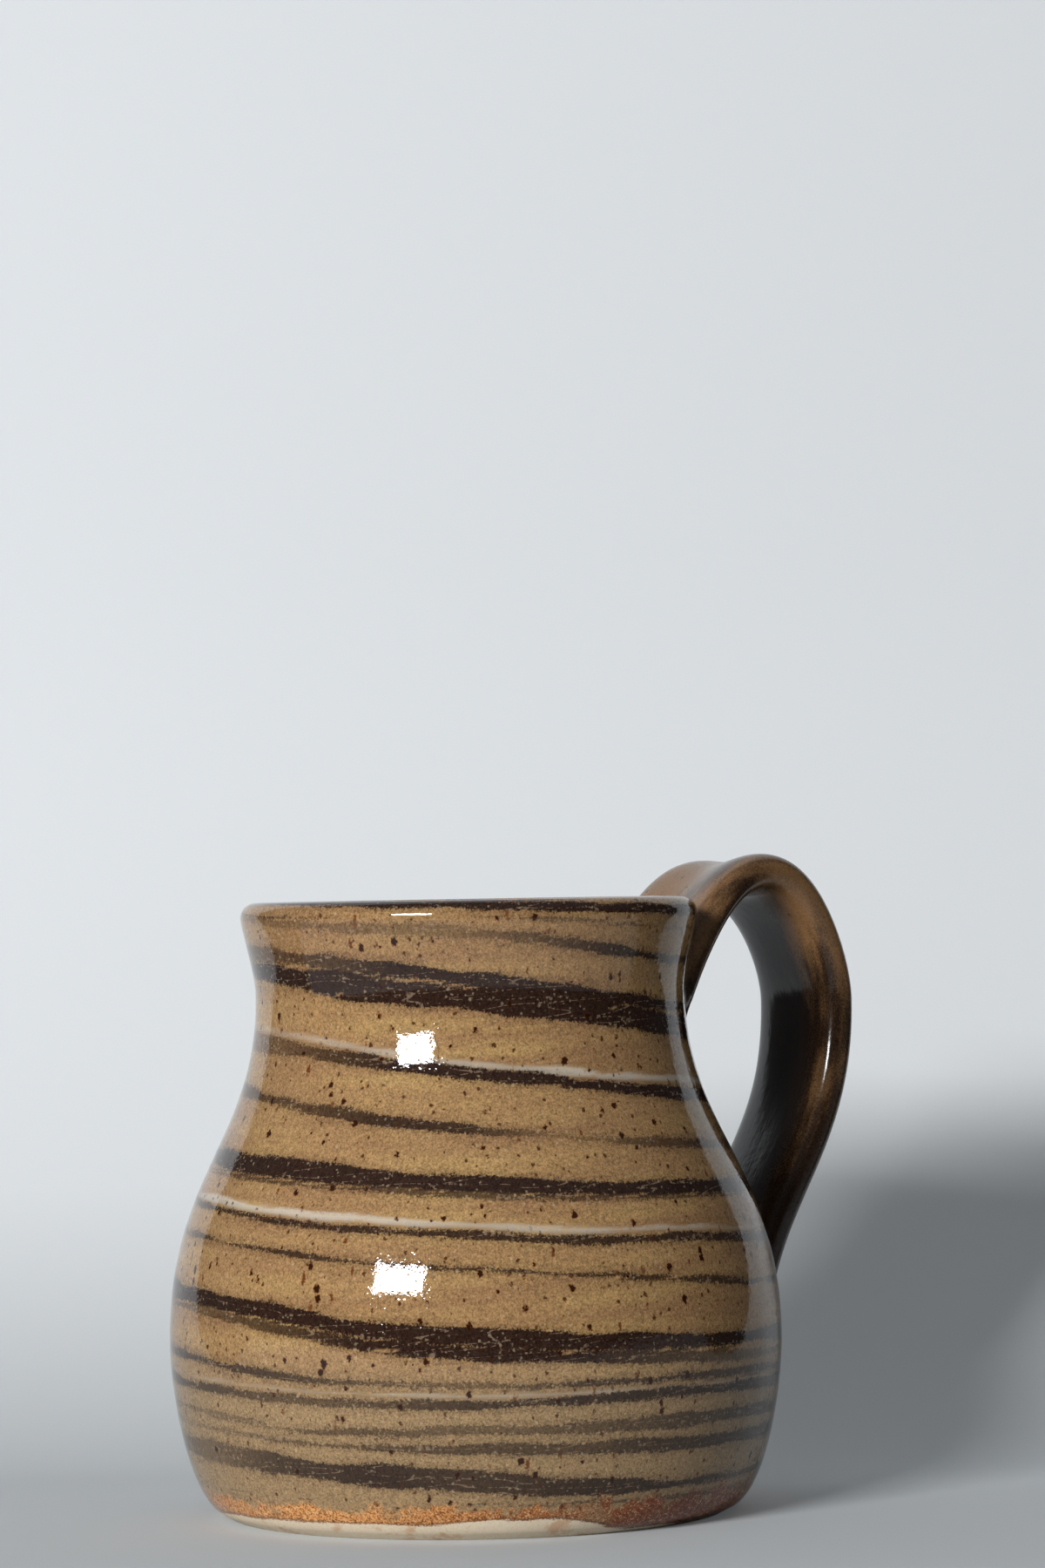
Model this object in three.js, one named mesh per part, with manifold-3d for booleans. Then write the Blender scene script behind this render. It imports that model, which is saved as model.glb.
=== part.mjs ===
// A hand-made mug of mixed dark and pale clays: a pot thrown on the wheel, a strap handle pulled from a
// lump of the same clay, and the soft clay that joins each end of the strap to the pot.
// Millimetres, +Z up. The origin is the centre of the flat base, and the handle stands out along +X.
import * as THREE from "three";
import { mergeVertices } from "three/addons/utils/BufferGeometryUtils.js";
import Module from "manifold-3d";

// The pot's outside, from the base up and from the rim down
const HEIGHT = 100;
const BASE_RADIUS = 40;
const BASE_EDGE_WIDTH = 2.4;
const BASE_EDGE_HEIGHT = 1.2;
const BELLY_RADIUS = 50;
const BELLY_HEIGHT = 28.3;
const NECK_RADIUS = 35.1;
const NECK_BELOW_RIM = 15.2;
const RIM_RADIUS = 37.4;

// The arms of the outside's curves: how far it holds its line out from the foot and past belly, neck and rim
const FOOT_ARM_OUT = 4.9;
const FOOT_ARM_UP = 3.1;
const BELLY_ARM_DOWN = 8;
const BELLY_ARM_UP = 27.8;
const NECK_ARM_DOWN = 23.4;
const NECK_ARM_UP = 3.7;
const RIM_ARM_DOWN = 1.8;

// The clay's thickness
const WALL = 4.8;
const LIP = 5;
const FLOOR = 6;
const FLOOR_CORNER = 14;

// The handle's strap: a flat strap with well rounded edges and a shallow channel along its outer face. It is
// wider and turned a little at its root, and both die out along the taper.
const STRAP_WIDTH = 20.4;
const STRAP_ROOT_WIDTH = 34.5;
const STRAP_THICKNESS = 7.3;
const STRAP_SQUARENESS = 3.2;
const STRAP_CHANNEL = 1.4;
const ROOT_TAPER = 62;
const ROOT_TAPER_POWER = 2;
const ROOT_TWIST_DEG = 12.5;

// The handle's loop: where it leaves the neck, how far it stands out, and where it comes back to the belly
const ROOT_BELOW_RIM = 17;
const ROOT_RISE_DEG = 65.3;
const ROOT_ARM = 43.9;
const FINGER_GAP = 32.5;
const LOOP_BELOW_RIM = 18.4;
const LOOP_ARM_UP = 12.1;
const LOOP_ARM_DOWN = 21.8;
const TAIL_HEIGHT = 35.3;
const TAIL_RISE_DEG = 72;
const TAIL_ARM = 19.5;
const ROOT_TUCK_DEG = 5;
const TAIL_TUCK_DEG = 15;
const TUCK_ARM = 7;
const TUCK_DEPTH = 5;

// The joins: a skin of slip under each strap end, and clay pressed into the corner round it. The swollen
// strap end that each is cut from reaches on, into the pot and up inside the strap, where it sinks in.
const SLIP_THICKNESS = 0.8;
const JOIN_FILLET = 2.6;
const JOIN_REACH = 7;
const JOIN_SUNK = 2.5;
const CLEARANCE = 0.3;

// The fired clays under their clear glaze
const BODY_COLOUR = "#a8845a";
const HANDLE_COLOUR = "#7a5636";
const GLAZE_ROUGHNESS = 0.15;

// How finely the round forms are divided
const TURN_STEPS = 72;
const FOOT_STEPS = 6;
const SHOULDER_STEPS = 12;
const FLARE_STEPS = 4;
const LIP_STEPS = 6;
const CORNER_STEPS = 5;
const STRAP_STEPS = 60;
const SECTION_STEPS = 28;
const FILLET_STEPS = 5;
const REACH_STEPS = 5;
const HALVINGS = 24;
const LOOKUP_FINENESS = 20;
const SAME_POINT = 1e-4;
const CUT_EDGE = 0.02;

const wasm = await Module();
wasm.setup();

const radial = (radius, height) => new THREE.Vector2(radius, height);
const radians = THREE.MathUtils.degToRad;
const neckHeight = HEIGHT - NECK_BELOW_RIM;
const rimHeight = HEIGHT - LIP / 2;

// The outside as three curves, each a radius and a height: base to belly, belly to neck, neck to rim
const footCurve = new THREE.CubicBezierCurve(
  radial(BASE_RADIUS + BASE_EDGE_WIDTH, BASE_EDGE_HEIGHT),
  radial(BASE_RADIUS + BASE_EDGE_WIDTH + FOOT_ARM_OUT, BASE_EDGE_HEIGHT + FOOT_ARM_UP),
  radial(BELLY_RADIUS, BELLY_HEIGHT - BELLY_ARM_DOWN),
  radial(BELLY_RADIUS, BELLY_HEIGHT),
);
const shoulderCurve = new THREE.CubicBezierCurve(
  radial(BELLY_RADIUS, BELLY_HEIGHT),
  radial(BELLY_RADIUS, BELLY_HEIGHT + BELLY_ARM_UP),
  radial(NECK_RADIUS, neckHeight - NECK_ARM_DOWN),
  radial(NECK_RADIUS, neckHeight),
);
const flareCurve = new THREE.CubicBezierCurve(
  radial(NECK_RADIUS, neckHeight),
  radial(NECK_RADIUS, neckHeight + NECK_ARM_UP),
  radial(RIM_RADIUS, rimHeight - RIM_ARM_DOWN),
  radial(RIM_RADIUS, rimHeight),
);

// Points along a curve, each moved square to it by offset(share of the way): outwards when positive
function offsetPoints(curve, steps, offset) {
  return Array.from({ length: steps + 1 }, (_, i) => {
    const along = curve.getTangent(i / steps);
    return curve.getPoint(i / steps).add(radial(along.y, -along.x).multiplyScalar(offset(i / steps)));
  });
}

// The whole outside from base edge to rim, moved outwards by an equal distance
function outsidePoints(outwards, finer = 1) {
  const offset = () => outwards;
  return [
    ...offsetPoints(footCurve, FOOT_STEPS * finer, offset),
    ...offsetPoints(shoulderCurve, SHOULDER_STEPS * finer, offset).slice(1),
    ...offsetPoints(flareCurve, FLARE_STEPS * finer, offset).slice(1),
  ];
}

// The pot's outer radius at a height, read between close points of the outside
const lookup = outsidePoints(0, LOOKUP_FINENESS);
function outerRadius(height) {
  const above = lookup.findIndex((p) => p.y >= height);
  if (above === 0) return lookup[0].x;
  if (above < 0) return lookup[lookup.length - 1].x;
  const [low, high] = [lookup[above - 1], lookup[above]];
  return THREE.MathUtils.mapLinear(height, low.y, high.y, low.x, high.x);
}

// A profile of radius and height turned about the Z axis
function turned(profile) {
  return new THREE.LatheGeometry(profile, TURN_STEPS).rotateX(Math.PI / 2);
}

// The thrown pot: up the outside, over the round lip, down the inside and across the floor
function potGeometry() {
  const lip = Array.from({ length: LIP_STEPS - 1 }, (_, i) => {
    const angle = ((i + 1) / LIP_STEPS) * Math.PI;
    const inwards = (LIP / 2) * (1 - Math.cos(angle));
    return radial(RIM_RADIUS - inwards, rimHeight + (LIP / 2) * Math.sin(angle));
  });
  const thickening = (share) => -THREE.MathUtils.lerp(WALL, LIP, share);
  const inside = [
    ...offsetPoints(footCurve, FOOT_STEPS, () => -WALL),
    ...offsetPoints(shoulderCurve, SHOULDER_STEPS, () => -WALL).slice(1),
    ...offsetPoints(flareCurve, FLARE_STEPS, thickening).slice(1),
  ].reverse();
  const wall = inside.filter((p) => p.y > FLOOR + FLOOR_CORNER);
  const [before, last] = wall.slice(-2);
  const lean = (before.x - last.x) / (before.y - last.y);
  const wallFoot = radial(last.x - lean * (last.y - FLOOR), FLOOR);
  const corner = new THREE.QuadraticBezierCurve(last, wallFoot, radial(wallFoot.x - FLOOR_CORNER, FLOOR));
  return turned([
    radial(0, 0),
    radial(BASE_RADIUS, 0),
    ...outsidePoints(0),
    ...lip,
    ...wall,
    ...corner.getPoints(CORNER_STEPS).slice(1),
    radial(0, FLOOR),
  ]);
}

// The room that the pot takes with a clearance round it, with its hollow filled
function potRoom(clearance) {
  const side = outsidePoints(clearance);
  return turned([
    radial(0, -clearance),
    radial(BASE_RADIUS, -clearance),
    ...side,
    radial(side[side.length - 1].x, HEIGHT + clearance),
    radial(0, HEIGHT + clearance),
  ]);
}

// The strap's centreline, in the plane of X and Z: out of the neck, over, down and back to the belly.
// Each end bends inwards and runs on straight through the wall, so that the wall can cut it off.
function strapPath() {
  const space = (x, z) => new THREE.Vector3(x, 0, z);
  const heading = (degrees, length) =>
    space(Math.cos(radians(degrees)), Math.sin(radians(degrees))).multiplyScalar(length);
  const rootHeight = HEIGHT - ROOT_BELOW_RIM;
  const root = space(outerRadius(rootHeight), rootHeight);
  const rootBend = root.clone().sub(heading(ROOT_RISE_DEG, TUCK_ARM));
  const rootTuck = rootBend.clone().sub(heading(ROOT_TUCK_DEG, TUCK_ARM));
  const rootEnd = rootTuck.clone().sub(heading(ROOT_TUCK_DEG, TUCK_DEPTH));
  const loop = space(NECK_RADIUS + FINGER_GAP + STRAP_THICKNESS / 2, HEIGHT - LOOP_BELOW_RIM);
  const tail = space(outerRadius(TAIL_HEIGHT) + STRAP_THICKNESS / 2, TAIL_HEIGHT);
  const tailBend = tail.clone().sub(heading(TAIL_RISE_DEG, TUCK_ARM));
  const tailTuck = tailBend.clone().sub(heading(TAIL_TUCK_DEG, TUCK_ARM));
  const tailEnd = tailTuck.clone().sub(heading(TAIL_TUCK_DEG, TUCK_DEPTH));
  const rootArm = root.clone().add(heading(ROOT_RISE_DEG, ROOT_ARM));
  const tailArm = tail.clone().add(heading(TAIL_RISE_DEG, TAIL_ARM));
  const path = new THREE.CurvePath();
  path.add(new THREE.LineCurve3(rootEnd, rootTuck));
  path.add(new THREE.QuadraticBezierCurve3(rootTuck, rootBend, root));
  path.add(new THREE.CubicBezierCurve3(root, rootArm, space(loop.x, loop.z + LOOP_ARM_UP), loop));
  path.add(new THREE.CubicBezierCurve3(loop, space(loop.x, loop.z - LOOP_ARM_DOWN), tailArm, tail));
  path.add(new THREE.QuadraticBezierCurve3(tail, tailBend, tailTuck));
  path.add(new THREE.LineCurve3(tailTuck, tailEnd));
  return path;
}
const path = strapPath();
const [, rootEnd, loopEnd] = path.getCurveLengths();
const loopShare = loopEnd / path.getLength();

// A point of the strap at a share of its path, an angle round it, and a distance outside the bare strap.
const sectionAngles = Array.from({ length: SECTION_STEPS }, (_, j) => (j / SECTION_STEPS) * 2 * Math.PI);
function strapPoint(share, angle, extra) {
  const along = path.getTangent(share);
  const outward = new THREE.Vector3(-along.z, 0, along.x);
  const fromRoot = share * path.getLength() - rootEnd;
  const nearRoot = THREE.MathUtils.clamp(1 - fromRoot / ROOT_TAPER, 0, 1) ** ROOT_TAPER_POWER;
  const width = THREE.MathUtils.lerp(STRAP_WIDTH, STRAP_ROOT_WIDTH, nearRoot);
  const twist = radians(ROOT_TWIST_DEG) * nearRoot;
  const across = new THREE.Vector3(0, -Math.cos(twist), 0).addScaledVector(outward, Math.sin(twist));
  const through = new THREE.Vector3(0, Math.sin(twist), 0).addScaledVector(outward, Math.cos(twist));
  const rounded = (value) => Math.sign(value) * Math.abs(value) ** (2 / STRAP_SQUARENESS);
  const sideways = rounded(Math.cos(angle));
  const upwards = rounded(Math.sin(angle));
  const channel = STRAP_CHANNEL * Math.max(0, upwards) * Math.cos((sideways * Math.PI) / 2) ** 2;
  return path
    .getPoint(share)
    .addScaledVector(across, sideways * (width / 2 + extra))
    .addScaledVector(through, upwards * (STRAP_THICKNESS / 2 + extra) - channel);
}

// Rings of equally many points joined into one closed geometry with a fan over each end
function ringsGeometry(rings) {
  const last = rings.length - 1;
  const vertex = (i, j) => i * SECTION_STEPS + (j % SECTION_STEPS);
  const index = [];
  for (let i = 0; i < last; i++)
    for (let j = 0; j < SECTION_STEPS; j++) {
      index.push(vertex(i, j), vertex(i + 1, j), vertex(i, j + 1));
      index.push(vertex(i, j + 1), vertex(i + 1, j), vertex(i + 1, j + 1));
    }
  for (let j = 1; j < SECTION_STEPS - 1; j++) {
    index.push(vertex(0, 0), vertex(0, j), vertex(0, j + 1));
    index.push(vertex(last, 0), vertex(last, j + 1), vertex(last, j));
  }
  return new THREE.BufferGeometry().setFromPoints(rings.flat()).setIndex(index);
}

// The whole strap, moved outwards all round by an equal distance
function strapGeometry(outwards) {
  const shares = Array.from({ length: STRAP_STEPS + 1 }, (_, i) => i / STRAP_STEPS);
  const ring = (share) => sectionAngles.map((angle) => strapPoint(share, angle, outwards));
  return ringsGeometry(shares.map(ring));
}

// The swollen end of the strap inside a join: its rings climb a hollow quarter round from the wall out to
// the bare strap. Each point lies where the strap's line at that angle is the wanted distance from the wall.
// Both ends run on, into the pot and up inside the strap, so that their flat faces stay clear of the slip.
// Inside the strap the rings draw in, so that nothing of them stands out where the strap bends.
function swollenEnd(wallShare, freeShare) {
  const pointAt = (angle, extra, distance) => {
    let [low, high] = [wallShare, freeShare];
    for (let halving = 0; halving < HALVINGS; halving++) {
      const middle = (low + high) / 2;
      const point = strapPoint(middle, angle, extra);
      if (Math.hypot(point.x, point.y) - outerRadius(point.z) < distance) low = middle;
      else high = middle;
    }
    return strapPoint((low + high) / 2, angle, extra);
  };
  const rings = [sectionAngles.map((angle) => pointAt(angle, JOIN_FILLET, -JOIN_REACH))];
  for (let i = 0; i <= FILLET_STEPS; i++) {
    const turn = (i / FILLET_STEPS) * (Math.PI / 2);
    const extra = JOIN_FILLET * (1 - Math.sin(turn));
    const distance = JOIN_FILLET * (1 - Math.cos(turn));
    rings.push(sectionAngles.map((angle) => pointAt(angle, extra, distance)));
  }
  for (let i = 1; i <= REACH_STEPS; i++) {
    const beyond = (i / REACH_STEPS) * JOIN_REACH;
    const sunk = -(i / REACH_STEPS) * JOIN_SUNK;
    rings.push(sectionAngles.map((angle) => pointAt(angle, sunk, JOIN_FILLET + beyond)));
  }
  return ringsGeometry(wallShare < freeShare ? rings : rings.reverse());
}

// A closed geometry as a solid that can be cut, and back again with the slivers along its cuts closed up
function solidOf(geometry) {
  const bare = geometry.clone().deleteAttribute("normal").deleteAttribute("uv");
  const merged = mergeVertices(bare, SAME_POINT);
  return new wasm.Manifold(
    new wasm.Mesh({
      numProp: 3,
      vertProperties: merged.attributes.position.array,
      triVerts: new Uint32Array(merged.index.array),
    }),
  );
}
function geometryOf(solid) {
  const mesh = solid.simplify(CUT_EDGE).getMesh();
  return new THREE.BufferGeometry()
    .setAttribute("position", new THREE.BufferAttribute(mesh.vertProperties, 3))
    .setIndex(new THREE.BufferAttribute(mesh.triVerts, 1));
}

const potRoomClose = solidOf(potRoom(CLEARANCE));
const potRoomUnderSlip = solidOf(potRoom(CLEARANCE + SLIP_THICKNESS));
const potRoomUnderStrap = solidOf(potRoom(CLEARANCE + SLIP_THICKNESS + CLEARANCE));
const strapRoom = solidOf(strapGeometry(CLEARANCE)).subtract(potRoomUnderSlip);

// The pulled strap, cut off just clear of the slip on the pot
function handleGeometry() {
  return geometryOf(solidOf(strapGeometry(0)).subtract(potRoomUnderStrap));
}

// The joining clay round one end of the strap: its swollen end, less the pot and less the strap
function joinGeometry(wallShare, freeShare) {
  return geometryOf(solidOf(swollenEnd(wallShare, freeShare)).subtract(potRoomClose).subtract(strapRoom));
}

function glazedPiece(name, geometry, colour) {
  const glaze = new THREE.MeshStandardMaterial({ color: colour, roughness: GLAZE_ROUGHNESS, metalness: 0 });
  const mesh = new THREE.Mesh(geometry, glaze);
  mesh.name = name;
  mesh.geometry.computeVertexNormals();
  return mesh;
}

const mug = new THREE.Group();
mug.add(
  glazedPiece("thrown_body", potGeometry(), BODY_COLOUR),
  glazedPiece("pulled_handle", handleGeometry(), HANDLE_COLOUR),
  glazedPiece("upper_handle_join", joinGeometry(0, loopShare), HANDLE_COLOUR),
  glazedPiece("lower_handle_join", joinGeometry(1, loopShare), HANDLE_COLOUR),
);

export default mug;
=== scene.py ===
import math

import bpy
import numpy as np
from mathutils import Matrix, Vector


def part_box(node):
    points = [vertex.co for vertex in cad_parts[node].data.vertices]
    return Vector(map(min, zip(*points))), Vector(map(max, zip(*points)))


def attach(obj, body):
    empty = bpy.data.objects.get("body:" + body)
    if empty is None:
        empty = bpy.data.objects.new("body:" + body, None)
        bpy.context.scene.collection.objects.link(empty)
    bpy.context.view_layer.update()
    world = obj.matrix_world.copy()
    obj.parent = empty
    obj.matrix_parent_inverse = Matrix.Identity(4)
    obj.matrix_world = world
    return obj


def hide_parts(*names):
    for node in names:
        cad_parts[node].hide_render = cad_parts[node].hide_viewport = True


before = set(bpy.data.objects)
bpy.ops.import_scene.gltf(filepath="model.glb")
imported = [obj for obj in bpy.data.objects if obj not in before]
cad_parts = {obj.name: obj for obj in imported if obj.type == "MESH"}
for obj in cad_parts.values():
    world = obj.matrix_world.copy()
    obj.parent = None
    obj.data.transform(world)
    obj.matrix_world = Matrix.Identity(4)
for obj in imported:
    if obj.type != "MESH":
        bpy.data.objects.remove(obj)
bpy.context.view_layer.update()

# Camera
# It stands 36 degrees round from the mug's own front, just above the rim, and looks nearly level, so that
# the handle lies to the right and further away. Its own frame, x to its right, y away from it and z up, also
# places the lamp and the sheet.
MM = 0.001
CAMERA_TURN_DEG = 36
CAMERA_DISTANCE = 910
CAMERA_HEIGHT = 102.4
CAMERA_YAW_DEG = 0.578
CAMERA_PITCH_DEG = 1.028
CAMERA_ROLL_DEG = 0.992
CAMERA_LENS = 127.5
SENSOR = 36

turn = math.radians(CAMERA_TURN_DEG)
rightward = np.array([math.cos(turn), -math.sin(turn), 0])
away = np.array([math.sin(turn), math.cos(turn), 0])
upward = np.array([0, 0, 1])


def from_camera_frame(x, y, z):
    """A place given in mm to the camera's right, away from it and up, as a place in metres in the mug's own
    frame: the three directions times their lengths."""
    return (rightward * x + away * y + upward * z) * MM


def turned_towards(first, second, degrees):
    """Two perpendicular directions turned in their plane, the first towards the second: each times the
    cosine, and the other times the sine, added to the first and taken from the second."""
    cosine, sine = math.cos(math.radians(degrees)), math.sin(math.radians(degrees))
    return first * cosine + second * sine, second * cosine - first * sine


forward, right = turned_towards(away, rightward, CAMERA_YAW_DEG)
forward, up = turned_towards(forward, upward, CAMERA_PITCH_DEG)
up, right = turned_towards(up, right, CAMERA_ROLL_DEG)
lens = bpy.data.cameras.new("photo_camera")
lens.sensor_width = SENSOR
lens.lens = CAMERA_LENS
lens.clip_start = 0.05
camera = bpy.data.objects.new("photo_camera", lens)
place = np.eye(4)
place[:3, :3] = np.stack([right, up, -forward], axis=1)
place[:3, 3] = from_camera_frame(0, -CAMERA_DISTANCE, CAMERA_HEIGHT)
camera.matrix_world = Matrix(place.tolist())
bpy.context.scene.collection.objects.link(camera)
bpy.context.scene.camera = camera

# Thrown body
# The pot, thrown on the wheel in one piece from two clays that were wedged together only a few times.
# The wheel drew the dark clay out into streaks that climb the wall as it turned. It is glazed clear all over
# except the foot, which was wiped bare and blushed orange in the kiln.
pot_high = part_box("thrown_body")[1]
HEIGHT = pot_high.z / MM
BELLY_RADIUS = pot_high.x / MM
BELLY_HEIGHT = 28.3
BASE_RADIUS = 40
BASE_EDGE = (42.4, 1.2)
FOOT_BEND = (47.3, 4.3)
BELLY_ARM_DOWN = 8
BELLY_ARM_UP = 27.8
NECK = (35.1, HEIGHT - 15.2)
NECK_ARM_DOWN = 23.4
NECK_ARM_UP = 3.7
RIM = (37.4, HEIGHT - 2.5)
RIM_ARM_DOWN = 1.8
WALL = 4.8
LIP = 5
LIP_STEPS = 60
FLOOR = 6
FLOOR_CORNER = 14
CORNER_STEPS = 40
COLUMNS = 240
OUTSIDE_ROW = 0.42
INSIDE_ROW = 0.95
BASE_ROW = 4
RING_PITCH = 7.5
RING_DEPTH_OUTSIDE = 0.012
RING_DEPTH_INSIDE = 0.22
RINGS_FROM = 8
RINGS_GROW_OVER = 12
RINGS_STOP_BELOW_RIM = 6
RINGS_FADE_OVER = 8
HANDLE_ANGLE = 126
rng = np.random.default_rng(7)


def bezier(points, steps=200):
    """A cubic curve: its four control points weighted by (1-t)^3, 3t(1-t)^2, 3t^2(1-t) and t^3."""
    t = np.linspace(0, 1, steps + 1)[:, None]
    a, b, c, d = np.array(points, float)
    return a * (1 - t) ** 3 + 3 * b * t * (1 - t) ** 2 + 3 * c * t**2 * (1 - t) + d * t**3


def evenly(points, spacing):
    """The same line with its points equally far apart: places are read off by length along the line."""
    steps = np.linalg.norm(np.diff(points, axis=0), axis=1)
    length = np.concatenate([[0], np.cumsum(steps)])
    wanted = np.linspace(0, length[-1], max(2, round(length[-1] / spacing) + 1))
    return np.stack([np.interp(wanted, length, points[:, k]) for k in range(points.shape[1])], axis=1)


# The outline runs from the foot over the belly and the neck to the rim. An arm, in mm, is how far a control
# point stands above or below the place where two curves meet.
belly = (BELLY_RADIUS, BELLY_HEIGHT)
below_belly = (BELLY_RADIUS, BELLY_HEIGHT - BELLY_ARM_DOWN)
above_belly = (BELLY_RADIUS, BELLY_HEIGHT + BELLY_ARM_UP)
below_neck = (NECK[0], NECK[1] - NECK_ARM_DOWN)
above_neck = (NECK[0], NECK[1] + NECK_ARM_UP)
below_rim = (RIM[0], RIM[1] - RIM_ARM_DOWN)
outside = np.concatenate([
    bezier([BASE_EDGE, FOOT_BEND, below_belly, belly]),
    bezier([belly, above_belly, below_neck, NECK])[1:],
    bezier([NECK, above_neck, below_rim, RIM])[1:],
])

# The inside lies a wall's thickness in from the outside, measured square to it. The lip is a half circle
# from one to the other, and a quadratic curve turns the wall into the floor.
tangent = np.gradient(outside, axis=0)
tangent /= np.linalg.norm(tangent, axis=1, keepdims=True)
inwards = np.stack([-tangent[:, 1], tangent[:, 0]], axis=1)
thickness = np.interp(outside[:, 1], [NECK[1], RIM[1]], [WALL, LIP])[:, None]
inside = (outside + inwards * thickness)[::-1]
inside = inside[inside[:, 1] > FLOOR + FLOOR_CORNER]
half_turn = np.linspace(0, np.pi, LIP_STEPS)[1:-1]
lip = np.stack([RIM[0] - LIP / 2 * (1 - np.cos(half_turn)), RIM[1] + LIP / 2 * np.sin(half_turn)], axis=1)
lean = (inside[-2] - inside[-1]) / (inside[-2] - inside[-1])[1]
wall_foot = inside[-1] - lean * (inside[-1][1] - FLOOR)
bend = np.linspace(0, 1, CORNER_STEPS)[1:, None]
corner_end = wall_foot - [FLOOR_CORNER, 0]
corner = inside[-1] * (1 - bend) ** 2 + 2 * wall_foot * bend * (1 - bend) + corner_end * bend**2
base_rows = evenly(np.array([[0, 0], [BASE_RADIUS, 0]], float), BASE_ROW)
lip_top = LIP_STEPS // 2
outside_rows = evenly(np.concatenate([[[BASE_RADIUS, 0]], outside, lip[:lip_top]]), OUTSIDE_ROW)
inside_rows = evenly(np.concatenate([lip[lip_top - 1:], inside, corner, [[0, FLOOR]]]), INSIDE_ROW)
profile = np.concatenate([base_rows[1:-1], outside_rows, inside_rows[1:-1]])
first_inside = len(base_rows) - 2 + len(outside_rows)
is_inside = np.arange(len(profile)) >= first_inside

# The throwing rings are one spiral, which goes into the clay by depth * sin(2 pi (height / pitch - turn)).
# It grows above the floor and fades below the rim, and it is soft inside and hardly there outside.
azimuth = np.arange(COLUMNS) / COLUMNS * 2 * np.pi
radius = np.repeat(profile[:, :1], COLUMNS, axis=1)
height = np.repeat(profile[:, 1:], COLUMNS, axis=1)
spiral = height / RING_PITCH - azimuth / (2 * np.pi)
ring_depth = np.where(is_inside, RING_DEPTH_INSIDE, RING_DEPTH_OUTSIDE)[:, None]
grown = np.clip((height - RINGS_FROM) / RINGS_GROW_OVER, 0, 1)
faded = np.clip((HEIGHT - RINGS_STOP_BELOW_RIM - height) / RINGS_FADE_OVER, 0, 1)
into_clay = np.where(is_inside, 1, -1)[:, None]
ringed = radius + ring_depth * (grown * faded) * np.sin(2 * np.pi * spiral) * into_clay


def turned_mesh(name, rings, poles):
    """A closed body: rings of equally many points joined by quads, and a fan over each end to its pole."""
    count, columns = rings.shape[:2]
    here = np.arange(count - 1)[:, None] * columns
    around = np.arange(columns)
    following = (around + 1) % columns
    quads = np.stack([here + around, here + following, here + columns + following, here + columns + around],
                     axis=-1)
    last_ring = (count - 1) * columns
    first_pole = np.full(columns, count * columns)
    first_fan = np.stack([first_pole, following, around], axis=-1)
    last_fan = np.stack([first_pole + 1, last_ring + around, last_ring + following], axis=-1)
    points = np.concatenate([rings.reshape(-1, 3), np.array(poles, float)]) * MM
    mesh = bpy.data.meshes.new(name)
    faces = quads.reshape(-1, 4).tolist() + first_fan.tolist() + last_fan.tolist()
    mesh.from_pydata(points.tolist(), [], faces)
    mesh.shade_smooth()
    return mesh


rings = np.stack([ringed * np.cos(azimuth), ringed * np.sin(azimuth), height], axis=-1)
body_mesh = turned_mesh("thrown_body_look", rings, [(0, 0, 0), (0, 0, FLOOR)])

# Each winding of the dark clay goes round the pot several times and falls as it goes. It is given by its
# passes over the side away from the handle: heights and half thicknesses in mm and darkness at seven angles.
PASS_ANGLES = np.array([-60, -40, -20, 0, 20, 40, 60])
THINNEST = 0.02


def steady(value):
    """The same value at all the angles of a pass."""
    return (value,) * len(PASS_ANGLES)


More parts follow.
